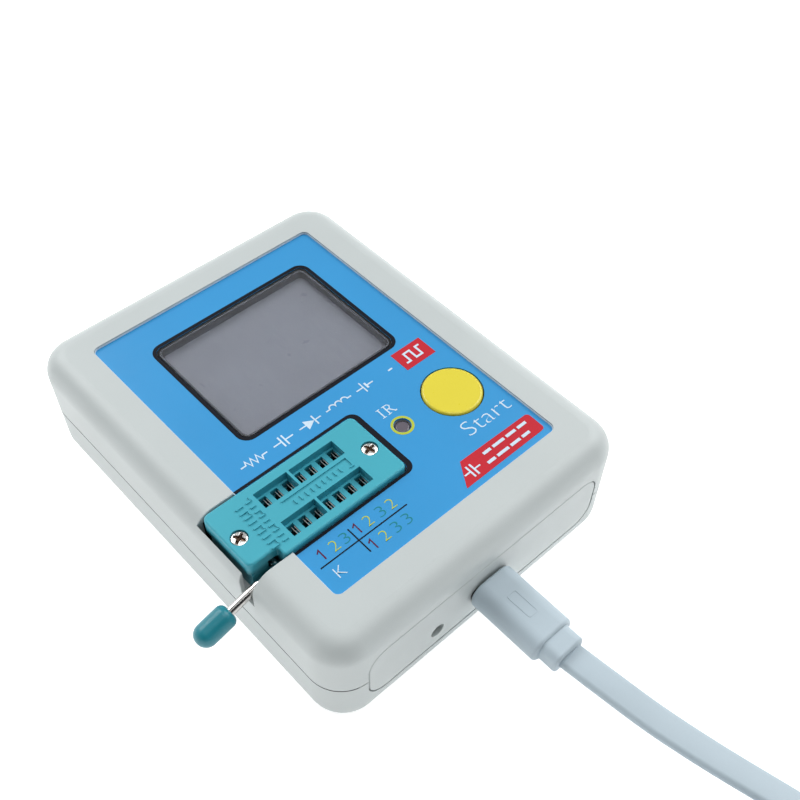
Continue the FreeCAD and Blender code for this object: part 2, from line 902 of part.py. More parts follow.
def make_socket():
    board_top = "board_bottom + board_thickness"
    cover_bottom = "cover_top - cover_height"
    base = new_body("SocketBase")
    outline = sketch_on(
        base,
        "BaseOutline",
        x="cover_left + cover_width / 2",
        y="cover_front + cover_length / 2",
        z=board_top,
    )
    rounded_rectangle(outline, "cover_width - 0.8", "cover_length - 0.8", "cover_radius")
    pad(base, "BaseBlock", outline, f"{cover_bottom} - ({board_top})")
    well = sketch_on(
        base,
        "SliderWellOutline",
        x="well_x",
        y="slider_y",
        z=cover_bottom,
    )
    rectangle(well, "well_width", "well_length")
    pocket(base, "SliderWell", well, "well_depth")
    shaft_room = sketch_on(
        base,
        "ShaftRoomOutline",
        x="lever_x",
        y="cover_front + cover_length / 2 - 1.2",
        z=cover_bottom,
    )
    rectangle(shaft_room, "shaft_room", "cover_length - 2.4")
    pocket(base, "ShaftRoom", shaft_room, "shaft_room_depth")
    arm_room = sketch_on(
        base,
        "ArmRoomOutline",
        x="cover_left + notch_width / 2 - 0.45",
        y="cover_front + notch_length / 2 - 0.5",
        z=cover_bottom,
    )
    rectangle(arm_room, "notch_width + 1.1", "notch_length + 1")
    pocket(base, "ArmRoom", arm_room, "arm_room_depth")
    for number, row in enumerate((-1, 1)):
        slot = sketch_on(
            base,
            f"BasePinSlot{number}Outline",
            x="pin_first_x + 3 * pin_pitch",
            y=f"pin_middle_y + {row} * pin_rows / 2",
            z=cover_bottom,
        )
        rectangle(slot, "7 * pin_pitch", "1.9")
        pocket(base, f"BasePinSlot{number}", slot, f"{cover_bottom} - ({board_top}) + 1")
    node("socket_base", base)
    make_socket_cover(cover_bottom)
    make_socket_slider(cover_bottom)
    make_socket_contacts(board_top)
    make_socket_screws()


def make_socket_cover(bottom):
    cover = new_body("SocketCover")
    outline = sketch_on(
        cover,
        "CoverOutline",
        x="cover_left + cover_width / 2",
        y="cover_front + cover_length / 2",
        z=bottom,
    )
    rounded_rectangle(outline, "cover_width", "cover_length", "cover_radius")
    pad(cover, "CoverBlock", outline, "cover_height")
    notch = sketch_on(
        cover,
        "CoverNotchOutline",
        x="cover_left + notch_width / 2 - 0.5",
        y="cover_front + notch_length / 2 - 0.5",
        z="cover_top",
    )
    rounded_rectangle(notch, "notch_width + 1", "notch_length + 1", "0.45")
    notched = pocket(cover, "CoverNotch", notch, "cover_height + 1")
    corner = upright_at("cover_left", "cover_front + notch_length")
    cornered = fillet(cover, "CoverCorner", notched, "notch_corner", corner)
    heel = upright_at("cover_left + notch_width", "cover_front")
    heeled = fillet(cover, "CoverHeel", cornered, "notch_heel", heel)
    fillet(cover, "CoverRound", heeled, "cover_edge", at_height(VALUE["cover_top"]))
    shaft = sketch_on(
        cover,
        "CoverShaftOutline",
        x="lever_x",
        y="cover_front + cover_length / 2 - 1.2",
        z=bottom,
    )
    rectangle(shaft, "shaft_room", "cover_length - 2.4")
    pocket(cover, "CoverShaftRoom", shaft, "shaft_room_rise", reverse=True)
    rib = "pin_first_x + 2.5 * pin_pitch"
    openings = (
        ("slot_left", f"{rib} - slot_rib / 2"),
        (f"{rib} + slot_rib / 2", "slot_left + slot_width"),
    )
    for row_number, row in enumerate((-1, 1)):
        for part_number, (left, right) in enumerate(openings):
            slot = sketch_on(
                cover,
                f"CoverSlot{row_number}{part_number}Outline",
                x=f"(({left}) + ({right})) / 2",
                y=f"pin_middle_y + {row} * pin_rows / 2",
                z="cover_top",
            )
            rectangle(slot, f"({right}) - ({left})", "slot_length")
            pocket(cover, f"CoverSlot{row_number}{part_number}", slot, "cover_height + 1")
    for number, (x, y) in enumerate(COVER_SCREWS):
        round_hole(cover, f"CoverScrewSeat{number}", "cover_screw_seat", x, y, "cover_top", "1.0")
        hole = "cover_screw_shank + 0.2"
        round_hole(cover, f"CoverScrewHole{number}", hole, x, y, "cover_top", "cover_height + 1")
    node("socket_cover", cover)


def make_socket_slider(cover_bottom):
    """The plate that the lever's cam shaft pushes along X to open the contacts."""
    slider = new_body("SocketSlider")
    outline = sketch_on(
        slider,
        "SliderOutline",
        x="slider_x",
        y="slider_y",
        z=f"{cover_bottom} - slider_thickness - slider_play",
    )
    rectangle(outline, "slider_width", "slider_length")
    pad(slider, "SliderPlate", outline, "slider_thickness")
    for number, row in enumerate((-1, 1)):
        slot = sketch_on(
            slider,
            f"SliderSlot{number}Outline",
            x="pin_first_x + 3 * pin_pitch",
            y=f"pin_middle_y + {row} * pin_rows / 2",
            z=cover_bottom,
        )
        rectangle(slot, "7 * pin_pitch + 0.6", "2.1")
        pocket(slider, f"SliderSlot{number}", slot, "5")
    node("socket_slider", slider)


def make_socket_contacts(board_top):
    """A fork of two spring leaves on a foot and a solder pin, under each place for a leg."""
    foot_z = f"{board_top} + 0.4"
    leaf_z = f"{board_top} + 1"
    leaf_height = f"cover_top - leaf_drop - ({leaf_z})"
    contacts = []
    for row_number, row in enumerate((-1, 1)):
        for column in range(int(VALUE["pin_count"])):
            x = f"pin_first_x + {column} * pin_pitch"
            y = f"pin_middle_y + {row} * pin_rows / 2"
            front = f"{y} - leaf_width / 2"
            parts = []
            for hand, left in (("A", f"{x} - 0.65"), ("B", f"{x} + 0.65 - leaf_thickness")):
                name = f"Leaf{hand}{row_number}{column}"
                leaf = box(name, left, front, leaf_z, "leaf_thickness", "leaf_width", leaf_height)
                parts.append(leaf)
            name = f"{row_number}{column}"
            parts.append(box("Foot" + name, f"{x} - 0.65", front, foot_z, "1.3", "leaf_width", "0.8"))
            corner = (f"{x} - pin_side / 2", f"{y} - pin_side / 2", "board_bottom - pin_reach")
            length = f"{foot_z} + 0.4 - (board_bottom - pin_reach)"
            parts.append(box("Pin" + name, *corner, "pin_side", "pin_side", length))
            contacts.append(combined("Part::MultiFuse", "Contact" + name, parts))
    node("socket_contacts", combined("Part::Compound", "SocketContacts", contacts))


def make_socket_screws():
    """The two cross-head screws that hold the cover."""
    half = "cross_length / 2"
    thin = "cross_width / 2"
    bottom = "cover_top - 0.05 - cross_depth"
    long = "cross_length"
    wide = "cross_width"
    screws = []
    for number, (x, y) in enumerate(COVER_SCREWS):
        head = cylinder(f"CoverScrewHead{number}", "cover_screw_head", "0.9", x, y, "cover_top - 0.95")
        shank = cylinder(
            f"CoverScrewShank{number}", "cover_screw_shank", "2.4", x, y, "cover_top - 3.2"
        )
        blank = combined("Part::MultiFuse", f"CoverScrewBlank{number}", [head, shank])
        slots = [
            box(f"CrossA{number}", f"{x} - {half}", f"{y} - {thin}", bottom, long, wide, "1"),
            box(f"CrossB{number}", f"{x} - {thin}", f"{y} - {half}", bottom, wide, long, "1"),
        ]
        cross = combined("Part::MultiFuse", f"CoverScrewCross{number}", slots)
        screws.append(cut(f"CoverScrew{number}", blank, cross))
    node("socket_screws", combined("Part::Compound", "SocketScrews", screws))


def make_lever():
    """The bent wire lever: a shaft across the socket and an arm that ends in a knob."""
    droop = VALUE["lever_droop"]
    pivot = VECTOR(VALUE["lever_x"], VALUE["lever_y"], VALUE["lever_z"])
    shaft = cylinder("LeverShaft", "shaft_diameter", "shaft_length", "lever_x", "lever_y", "lever_z")
    shaft.Placement = FreeCAD.Placement(pivot, FreeCAD.Rotation(VECTOR(1, 0, 0), -90))
    place(shaft, "lever_x", "lever_y", "lever_z")
    elbow = DOC.addObject("Part::Sphere", "LeverElbow")
    bind(elbow, Radius="rod_diameter / 2")
    place(elbow, "lever_x", "lever_y", "lever_z")
    pointing = FreeCAD.Rotation(VECTOR(0, 1, 0), -90 - droop)
    arm = cylinder("LeverArm", "rod_diameter", "rod_reach", "lever_x", "lever_y", "lever_z")
    arm.Placement = FreeCAD.Placement(pivot, pointing)
    place(arm, "lever_x", "lever_y", "lever_z")
    node("socket_lever", combined("Part::MultiFuse", "SocketLever", [shaft, elbow, arm]))

    knob = new_body("LeverKnob")
    outline = sketch_on(knob, "KnobOutline", z="knob_start")
    circle_at(outline, "knob_diameter")
    blank = pad(knob, "KnobBlank", outline, "knob_length")
    far_end = at_height(evaluate("knob_start + knob_length"))
    near_end = at_height(VALUE["knob_start"])
    ends = fillet(knob, "KnobFarEnd", blank, "knob_diameter / 2 - 0.1", far_end)
    fillet(knob, "KnobNearEnd", ends, "knob_diameter * 0.28", near_end)
    socket = sketch_on(knob, "KnobSocketOutline", z="knob_start")
    circle_at(socket, "rod_diameter + 0.02")
    pocket(knob, "KnobSocket", socket, "rod_reach - knob_start + 0.1", reverse=True)
    knob.Placement = FreeCAD.Placement(pivot, pointing)
    place(knob, "lever_x", "lever_y", "lever_z")
    node("lever_knob", knob)


# ---------------------------------------------------------------- USB port, battery and plug


def make_port():
    shell = new_body("UsbSocket")
    mouth = sketch_on(shell, "PortOutline", plane="XZ_Plane", y="port_z", z="-port_front")
    rounded_rectangle(mouth, "port_width", "port_height", "0.6")
    pad(shell, "PortBlock", mouth, "port_length", reverse=True)
    inside = sketch_on(shell, "PortInside", plane="XZ_Plane", y="port_z", z="-port_front")
    rounded_rectangle(inside, "port_width - 2 * port_skin", "port_height - 2 * port_skin", "0.35")
    pocket(shell, "PortHollow", inside, "port_length - port_skin")
    node("usb_socket", shell)
    tongue = box(
        "PortTongue",
        "-2",
        "port_front + 0.8",
        "port_z + 0.12",
        "4",
        "port_length - port_skin - 0.8",
        "0.5",
    )
    node("usb_socket_tongue", tongue)
    corner = ("led_x - 0.8", "-case_length / 2 + 4.2", "board_bottom - 2.3")
    node("charge_led", box("LedBlock", *corner, "1.6", "2.0", "2.2"))


def make_battery():
    x = "-battery_width / 2"
    cell_z = "floor_thickness + 0.6"
    front = "battery_y - battery_length / 2"
    size = ("battery_width", "battery_length", "battery_height")
    cell = box("BatteryBlock", x, front, cell_z, *size)
    node("battery", rounded("Battery", cell, 1.2, along(1)))
    size = ("battery_width - 8", "battery_length - 8", "0.6")
    tape = box("BatteryTape", f"{x} + 4", f"{front} + 4", "floor_thickness", *size)
    node("battery_tape", tape)
    plug = box("BatteryPlug", "-3.5", "-29.5", "board_bottom - 5.1", "7", "5", "5")
    node("battery_connector", plug)


def pipe(name, points, diameter):
    """A round solid along straight runs and the arcs that join them; also gives its length and radii."""
    edges = []
    radii = []
    start = points[0]
    for before, corner, after in zip(points, points[1:], points[2:]):
        incoming = corner - before
        outgoing = after - corner
        turn = incoming.getAngle(outgoing)
        reach = 0.45 * min(incoming.Length, outgoing.Length)
        radii.append(reach / math.tan(turn / 2))
        first = corner - incoming.normalize() * reach
        last = corner + outgoing.normalize() * reach
        middle_way = (first + last) * 0.5 - corner
        bow = radii[-1] / math.cos(turn / 2) - radii[-1]
        middle = corner + middle_way.normalize() * bow
        edges.append(Part.LineSegment(start, first).toShape())
        edges.append(Part.Arc(first, middle, last).toShape())
        start = last
    edges.append(Part.LineSegment(start, points[-1]).toShape())
    path = Part.Wire(edges)
    heading = points[1] - points[0]
    ring = Part.Wire(Part.Circle(points[0], heading, diameter / 2).toShape())
    solid = path.makePipeShell([ring], True, False)
    section = math.pi * diameter**2 / 4
    share = solid.Volume / (section * path.Length)
    radii_text = ", ".join(f"{radius:.1f}" for radius in radii)
    print(f"{name}: {path.Length:.1f} mm, arcs of {radii_text} mm, volume {share:.4f} of its section")
    feature = DOC.addObject("Part::Feature", name)
    feature.Shape = solid
    return feature


def make_battery_leads():
    leads = (("battery_lead_red", "RedLead", -1.2), ("battery_lead_black", "BlackLead", 1.2))
    for label, name, x in leads:
        points = [
            VECTOR(x, -14.2, 5.6),
            VECTOR(x, -19.0, 5.8),
            VECTOR(x * 1.3, -22.5, 8.2),
            VECTOR(x, -24.4, 9.8),
        ]
        node(label, pipe(name, points, 1.1))


def make_plug():
    """The micro plug on the lead: metal shell, core, overmould and the stepped collar behind it."""
    front = "-overmould_front"
    shell = new_body("PlugShell")
    outline = sketch_on(shell, "PlugShellOutline", plane="XZ_Plane", y="port_z", z=front)
    rounded_rectangle(outline, "plug_width", "plug_height", "0.4")
    pad(shell, "PlugShellBlock", outline, "plug_reach", reverse=True)
    room = sketch_on(shell, "PlugShellInside", plane="XZ_Plane", y="port_z", z=front)
    rounded_rectangle(room, "plug_width - 2 * plug_skin", "plug_height - 2 * plug_skin", "0.2")
    pocket(shell, "PlugShellHollow", room, "plug_reach + 1")
    node("plug_shell", shell)
    core = box(
        "PlugCore",
        "-plug_width / 2 + plug_skin + 0.3",
        "overmould_front",
        "port_z - plug_height / 2 + plug_skin + 0.01",
        "plug_width - 2 * plug_skin - 0.6",
        "plug_reach - 0.4",
        "0.6",
    )
    node("plug_core", core)

    overmould = new_body("PlugOvermould")
    block = sketch_on(overmould, "OvermouldOutline", plane="XZ_Plane", y="port_z", z=front)
    rounded_rectangle(block, "overmould_width", "overmould_height", "overmould_radius")
    solid = pad(overmould, "OvermouldBlock", block, "overmould_length")
    fillet(overmould, "OvermouldEnds", solid, "0.7", end_edges)
    node("plug_overmould", overmould)

    collar = new_body("PlugCollar")
    start = f"{front} + overmould_length"
    ring = sketch_on(collar, "CollarOutline", plane="XZ_Plane", y="port_z", z=start)
    rounded_rectangle(ring, "collar_width", "collar_height", "collar_radius")
    block = pad(collar, "CollarBlock", ring, "collar_length")
    back = evaluate("overmould_front - overmould_length - collar_length")
    fillet(collar, "CollarEnd", block, "0.5", in_plane(1, back))
    node("plug_collar", collar)


# ---------------------------------------------------------------- charging lead

CABLE_ROUTE = [
    VECTOR(0.0, -64.2, 12.9),
    VECTOR(0.0, -70.0, 12.9),
    VECTOR(1.9, -80.5, 12.3),
    VECTOR(4.7, -91.0, 11.2),
    VECTOR(8.1, -101.5, 9.9),
    VECTOR(10.9, -112.0, 8.6),
    VECTOR(13.2, -122.5, 7.0),
    VECTOR(13.6, -133.0, 4.6),
]


def make_lead():
    width = VALUE["cable_width"]
    node("cable", pipe("Cable", CABLE_ROUTE, width))

    ring = new_body("CableCoil")
    outline = sketch_on(ring, "CoilOutline", x="coil_x", y="coil_y", z="coil_base")
    outer = "2 * (coil_inner + coil_pitch * coil_turns) + cable_thickness"
    circle_at(outline, outer)
    circle_at(outline, "2 * coil_inner - cable_thickness")
    pad(ring, "CoilRing", outline, "cable_width")
    node("cable_coil", ring)

    middle = "coil_inner + coil_pitch * coil_turns / 2"
    wide = "coil_pitch * coil_turns + cable_thickness + 1.6"
    band = box(
        "TieBlock",
        "coil_x - 3",
        f"coil_y - ({middle}) - ({wide}) / 2",
        "0",
        "6",
        wide,
        "cable_width + 2 * coil_base",
    )
    hole = box(
        "TieRoom",
        "coil_x - 5",
        f"coil_y - ({middle}) - ({wide}) / 2 + 0.6",
        "coil_base",
        "10",
        f"{wide} - 1.2",
        "cable_width",
    )
    node("coil_tie", cut("CoilTie", band, hole))

    x = "coil_x - coil_inner - coil_pitch * coil_turns"
    z = "coil_base + cable_width / 2"
    tail = DOC.addObject("Part::Cylinder", "CableTail")
    bind(tail, Radius="cable_width / 2", Height="tail_length")
    tail.Placement = FreeCAD.Placement(VECTOR(0, 0, 0), FreeCAD.Rotation(VECTOR(1, 0, 0), -90))
    place(tail, x, "coil_y", z)
    node("cable_tail", tail)
    make_big_plug(x)


def make_big_plug(x):
    """The computer-side plug, lying on the surface at the lead's far end."""
    front = "coil_y + tail_length"
    middle_z = "grip_height / 2"
    grip = new_body("UsbGrip")
    outline = sketch_on(grip, "GripOutline", plane="XZ_Plane", x=x, y=middle_z, z=f"-({front})")
    rounded_rectangle(outline, "grip_width", "grip_height", "2.2")
    block = pad(grip, "GripBlock", outline, "grip_length", reverse=True)
    fillet(grip, "GripEnds", block, "0.8", end_edges)
    node("usb_grip", grip)

    shell = new_body("UsbShell")
    tip = f"-({front} + grip_length)"
    outer = sketch_on(shell, "UsbShellOutline", plane="XZ_Plane", x=x, y=middle_z, z=tip)
    rectangle(outer, "usb_width", "usb_height")
    pad(shell, "UsbShellBlock", outer, "usb_reach", reverse=True)
    inner = sketch_on(shell, "UsbShellInside", plane="XZ_Plane", x=x, y=middle_z, z=tip)
    rectangle(inner, "usb_width - 2 * usb_skin", "usb_height - 2 * usb_skin")
    pocket(shell, "UsbShellHollow", inner, "usb_reach + 1")
    for number, side in enumerate((-1, 1)):
        window = sketch_on(
            shell,
            f"UsbWindow{number}Outline",
            x=f"{x} + {side} * 2.6",
            y=f"{front} + grip_length + 6.5",
            z=f"{middle_z} + usb_height / 2 + 1",
        )
        rectangle(window, "2.2", "2.4")
        pocket(shell, f"UsbWindow{number}", window, "2")
    node("usb_shell", shell)
    core = box(
        "UsbCore",
        f"{x} - usb_width / 2 + usb_skin + 0.05",
        f"{front} + grip_length",
        f"{middle_z} - usb_height / 2 + usb_skin",
        "usb_width - 2 * usb_skin - 0.1",
        "usb_reach - 0.6",
        "1.8",
    )
    node("usb_core", core)


# ---------------------------------------------------------------- build, check and write


def check_document():
    """Stops if anything failed to build, before a file is written."""
    for thing in DOC.Objects:
        if "Invalid" in thing.State or "Error" in thing.State:
            raise RuntimeError(f"{thing.Label} failed: {thing.State}")
    for thing in NODES:
        if thing.Shape.isNull() or not thing.Shape.isValid():
            raise RuntimeError(f"{thing.Label} has no valid shape")


def main():
    write_sheet()
    make_top_shell()
    make_bottom_shell()
    make_end_panel("usb_end_panel", "UsbPanel", -1)
    make_end_panel("rear_end_panel", "RearPanel", 1)
    make_label()
    make_case_screws()
    make_display()
    make_board()
    make_chips()
    make_button()
    make_infrared()
    make_socket()
    make_lever()
    make_port()
    make_battery()
    make_battery_leads()
    make_plug()
    make_lead()
    DOC.recompute()
    check_document()
    os.makedirs("parts", exist_ok=True)
    for thing in NODES:
        thing.Shape.exportStep(f"parts/{thing.Label}.step")
    print(f"{len(NODES)} sub-parts written")


main()
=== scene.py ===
"""Looks of a handheld component tester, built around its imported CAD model.

Helpers take millimetres and turn them into metres on the way into Blender.
"""

import math

import bmesh
import bpy
from mathutils import Matrix, Vector


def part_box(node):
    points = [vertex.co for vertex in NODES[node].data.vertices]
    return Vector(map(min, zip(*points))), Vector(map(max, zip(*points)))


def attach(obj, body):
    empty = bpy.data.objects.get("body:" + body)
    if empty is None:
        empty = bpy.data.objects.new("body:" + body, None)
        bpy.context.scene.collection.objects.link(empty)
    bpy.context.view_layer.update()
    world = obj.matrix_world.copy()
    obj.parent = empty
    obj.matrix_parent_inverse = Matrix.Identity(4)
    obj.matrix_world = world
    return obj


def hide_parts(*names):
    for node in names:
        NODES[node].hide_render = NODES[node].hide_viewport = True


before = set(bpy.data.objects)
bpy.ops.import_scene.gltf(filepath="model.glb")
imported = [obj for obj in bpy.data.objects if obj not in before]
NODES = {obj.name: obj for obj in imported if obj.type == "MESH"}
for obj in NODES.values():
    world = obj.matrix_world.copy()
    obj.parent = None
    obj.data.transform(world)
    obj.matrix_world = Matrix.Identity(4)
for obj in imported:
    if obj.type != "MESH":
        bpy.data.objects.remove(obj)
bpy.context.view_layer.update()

SCENE = bpy.context.scene
MM = 0.001

# ---------------------------------------------------------------- places read from the frame


def box_mm(node):
    """A CAD node's lowest and highest corners, in millimetres."""
    low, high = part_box(node)
    return low / MM, high / MM


def middle_mm(node):
    low, high = box_mm(node)
    return (low + high) / 2


LABEL_LOW, LABEL_HIGH = box_mm("front_label")
WINDOW_LOW, WINDOW_HIGH = box_mm("display_window")
COVER_LOW, COVER_HIGH = box_mm("socket_cover")
CONTACTS_LOW, CONTACTS_HIGH = box_mm("socket_contacts")
LABEL_TOP = LABEL_HIGH.z
INFRARED = middle_mm("infrared_receiver")

# The shells' seam. It is shaded up to PANEL_FACE from the middle, where the end panels' faces are.
SEAM_HALF_GAP = 0.15
SEAM_HEIGHT = box_mm("top_shell")[0].z - SEAM_HALF_GAP
PANEL_FACE = 44.6

# The test socket's two rows of contacts, and the cover's slots that they stand in.
PIN_COLUMNS = 7
PIN_PITCH = 2.54
PIN_HALF_ROWS = 3.81
FIRST_COLUMN = CONTACTS_LOW.x + 0.65
ROWS_MIDDLE = (CONTACTS_LOW.y + CONTACTS_HIGH.y) / 2
SLOT_LEFT = -24.1
SLOT_RIGHT = -6.5
SLOT_HALF = 1.84
GRID_TOP = COVER_HIGH.z - 1.8

# ---------------------------------------------------------------- node materials


def srgb(red, green, blue):
    """A display colour, 0 to 255 a channel, as the linear colour that shaders take."""

    def linear(value):
        share = value / 255
        return share / 12.92 if share <= 0.04045 else ((share + 0.055) / 1.055) ** 2.4

    return (linear(red), linear(green), linear(blue), 1.0)


def shade(colour, factor):
    return tuple(min(1.0, channel * factor) for channel in colour[:3]) + (1.0,)


CASE_COLOUR = srgb(180, 187, 187)
LABEL_COLOUR = srgb(47, 140, 197)
SCREEN_COLOUR = srgb(150, 155, 168)
TEAL = srgb(58, 158, 176)
DARK_TEAL = srgb(24, 120, 134)
YELLOW = srgb(211, 197, 56)
LEAD_COLOUR = srgb(169, 184, 193)


class Paint:
    """One procedural material: a Principled shader and the nodes that drive it."""

    def __init__(self, name, **sockets):
        self.material = bpy.data.materials.new(name)
        self.material.use_nodes = True
        self.tree = self.material.node_tree
        self.shader = self.tree.nodes["Principled BSDF"]
        for socket, value in sockets.items():
            self.shader.inputs[socket.replace("_", " ")].default_value = value
        self.place = self.add("ShaderNodeTexCoord").outputs["Object"]

    def add(self, kind, **settings):
        made = self.tree.nodes.new(kind)
        for setting, value in settings.items():
            setattr(made, setting, value)
        return made

    def join(self, source, target):
        self.tree.links.new(source, target)

    def stretched(self, x, y, z):
        """The object's own coordinates, scaled differently along each axis."""
        mapping = self.add("ShaderNodeMapping")
        mapping.inputs["Scale"].default_value = (x, y, z)
        self.join(self.place, mapping.inputs["Vector"])
        return mapping.outputs["Vector"]

    def axes(self):
        """The object's own X, Y and Z coordinates, one output each."""
        parts = self.add("ShaderNodeSeparateXYZ")
        self.join(self.place, parts.inputs["Vector"])
        return parts.outputs

    def math(self, operation, first, second=None):
        made = self.add("ShaderNodeMath", operation=operation)
        self.join(first, made.inputs[0])
        if isinstance(second, float):
            made.inputs[1].default_value = second
        elif second:
            self.join(second, made.inputs[1])
        return made.outputs["Value"]

    def noise(self, grain_mm, detail=2.0, place=None):
        """Noise whose lumps are about grain_mm across."""
        made = self.add("ShaderNodeTexNoise")
        made.inputs["Scale"].default_value = 1 / (grain_mm * MM)
        made.inputs["Detail"].default_value = detail
        self.join(place or self.place, made.inputs["Vector"])
        return made.outputs["Fac"]

    def cells(self, grain_mm, feature="F1"):
        made = self.add("ShaderNodeTexVoronoi", feature=feature)
        made.inputs["Scale"].default_value = 1 / (grain_mm * MM)
        self.join(self.place, made.inputs["Vector"])
        return made.outputs["Distance"]

    def waves(self, pitch_mm, direction="X", distortion=0.0):
        made = self.add("ShaderNodeTexWave", bands_direction=direction)
        made.inputs["Scale"].default_value = math.tau / 20 / (pitch_mm * MM)
        made.inputs["Distortion"].default_value = distortion
        self.join(self.place, made.inputs["Vector"])
        return made.outputs["Fac"]

    def ramp(self, share, *stops):
        """A colour ramp over a 0 to 1 value; each stop is (place, colour)."""
        made = self.add("ShaderNodeValToRGB")
        elements = made.color_ramp.elements
        while len(elements) < len(stops):
            elements.new(0.5)
        for element, (position, colour) in zip(elements, stops):
            element.position = position
            element.color = colour
        self.join(share, made.inputs["Fac"])
        return made.outputs["Color"]

    def span(self, share, low, high, start=0.0, end=1.0):
        """Maps a value from start..end to low..high."""
        made = self.add("ShaderNodeMapRange")
        made.inputs["From Min"].default_value = start
        made.inputs["From Max"].default_value = end
        made.inputs["To Min"].default_value = low
        made.inputs["To Max"].default_value = high
        self.join(share, made.inputs["Value"])
        return made.outputs["Result"]

    def mix(self, share, first, second, blend="MIX"):
        """Mixes two colours, each an output or a plain colour."""
        made = self.add("ShaderNodeMix", data_type="RGBA", blend_type=blend)
        if isinstance(share, float):
            made.inputs[0].default_value = share
        else:
            self.join(share, made.inputs[0])
        for socket, colour in ((6, first), (7, second)):
            if isinstance(colour, tuple):
                made.inputs[socket].default_value = colour
            else:
                self.join(colour, made.inputs[socket])
        return made.outputs[2]

    def colour(self, output):
        self.join(output, self.shader.inputs["Base Color"])

    def rough(self, share, low, high):
        self.join(self.span(share, low, high), self.shader.inputs["Roughness"])

    def relief(self, height, depth_mm, strength=1.0, under=None):
        """Adds a bump of about depth_mm to the shader's normal, over an earlier one."""
        made = self.add("ShaderNodeBump")
        made.inputs["Strength"].default_value = strength
        made.inputs["Distance"].default_value = depth_mm * MM
        self.join(height, made.inputs["Height"])
        if under is not None:
            self.join(under, made.inputs["Normal"])
        self.join(made.outputs["Normal"], self.shader.inputs["Normal"])
        return made.outputs["Normal"]


def speckled(paint, colour, grain_mm, amount):
    """The base colour, lighter and darker by amount in soft patches and in fine grain."""
    patches = paint.ramp(
        paint.noise(18, 3),
        (0.3, shade(colour, 1 - amount)),
        (0.7, shade(colour, 1 + amount)),
    )
    grain = paint.ramp(
        paint.noise(grain_mm, 2),
        (0.3, (1 - amount, 1 - amount, 1 - amount, 1)),
        (0.7, (1, 1, 1, 1)),
    )
    return paint.mix(1.0, patches, grain, blend="MULTIPLY")


def case_plastic():
    """Light grey moulding, spark-eroded to a fine matt, with shade down in the shells' seam."""
    paint = Paint("case_plastic", Roughness=0.42, Specular_IOR_Level=0.4)
    axes = paint.axes()
    above = paint.math("SUBTRACT", axes["Z"], SEAM_HEIGHT * MM)
    from_seam = paint.math("ABSOLUTE", above)
    from_middle = paint.math("ABSOLUTE", axes["Y"])
    gap = SEAM_HALF_GAP * MM
    outside_gap = paint.span(from_seam, 0.0, 1.0, gap + 0.002 * MM, gap + 0.012 * MM)
    on_panel = paint.span(from_middle, 0.0, 1.0, PANEL_FACE * MM, (PANEL_FACE + 0.05) * MM)
    lit = paint.math("MAXIMUM", outside_gap, on_panel)
    plain = speckled(paint, CASE_COLOUR, 0.22, 0.018)
    paint.colour(paint.mix(lit, shade(CASE_COLOUR, 0.3), plain))
    paint.rough(paint.noise(0.35, 3), 0.36, 0.52)
    under = paint.relief(paint.noise(0.28, 3), 0.012, 0.5)
    paint.relief(paint.noise(9.0, 1), 0.03, 0.25, under)
    return paint.material


def socket_plastic():
    """Glass-filled teal moulding, with painted shade that darkens it below the cover's flat top."""
    paint = Paint("socket_plastic", Roughness=0.42, Specular_IOR_Level=0.4)
    # painted shade: the teal darkens to half its brightness down the slots, the pockets and the
    # cover's sides
    share = paint.span(paint.axes()["Z"], 0.0, 1.0, (GRID_TOP - 1.3) * MM, (GRID_TOP - 0.1) * MM)
    paint.colour(paint.mix(share, shade(TEAL, 0.5), speckled(paint, TEAL, 0.16, 0.03)))
    paint.rough(paint.noise(0.5, 3), 0.35, 0.5)
    paint.relief(paint.noise(0.16, 2), 0.01, 0.45)
    return paint.material


def label_film():
    """Printed polyester film: blue with a faint orange-peel gloss."""
    paint = Paint("label_film", Roughness=0.3, Specular_IOR_Level=0.45)
    paint.colour(speckled(paint, LABEL_COLOUR, 0.12, 0.02))
    paint.rough(paint.noise(1.5, 2), 0.26, 0.36)
    paint.relief(paint.noise(0.5, 2), 0.004, 0.4)
    return paint.material


def ink(name, colour):
    """Screen-printed ink, slightly uneven over the film's grain."""
    paint = Paint(name, Roughness=0.5, Specular_IOR_Level=0.15)
    paint.colour(speckled(paint, colour, 0.15, 0.05))
    paint.rough(paint.noise(0.6, 2), 0.42, 0.56)
    paint.relief(paint.noise(0.2, 2), 0.003, 0.5)
    return paint.material


def clear_window():
    """Clear acrylic pane with a trace of dust and wiping marks."""
    paint = Paint("clear_window", Roughness=0.04, IOR=1.49, Transmission_Weight=1.0)
    marks = paint.noise(1.2, 4, paint.stretched(1.0, 0.25, 1.0))
    paint.colour(paint.ramp(marks, (0.2, (0.93, 0.94, 0.95, 1)), (0.8, (0.98, 0.98, 0.98, 1))))
    paint.rough(marks, 0.02, 0.09)
    return paint.material


def display_glass():
    """Unlit liquid-crystal panel: neutral grey in soft clouds, with fine pale specks of dust."""
    paint = Paint("display_glass", Roughness=0.3, Specular_IOR_Level=0.5)
    cloud = paint.ramp(paint.noise(12, 2), (0.3, SCREEN_COLOUR), (0.7, shade(SCREEN_COLOUR, 1.07)))
    dust = paint.ramp(paint.noise(0.35, 5), (0.66, (0, 0, 0, 1)), (0.78, (0.05, 0.05, 0.055, 1)))
    paint.colour(paint.mix(1.0, cloud, dust, blend="ADD"))
    paint.rough(paint.noise(2.0, 3), 0.22, 0.4)
    return paint.material


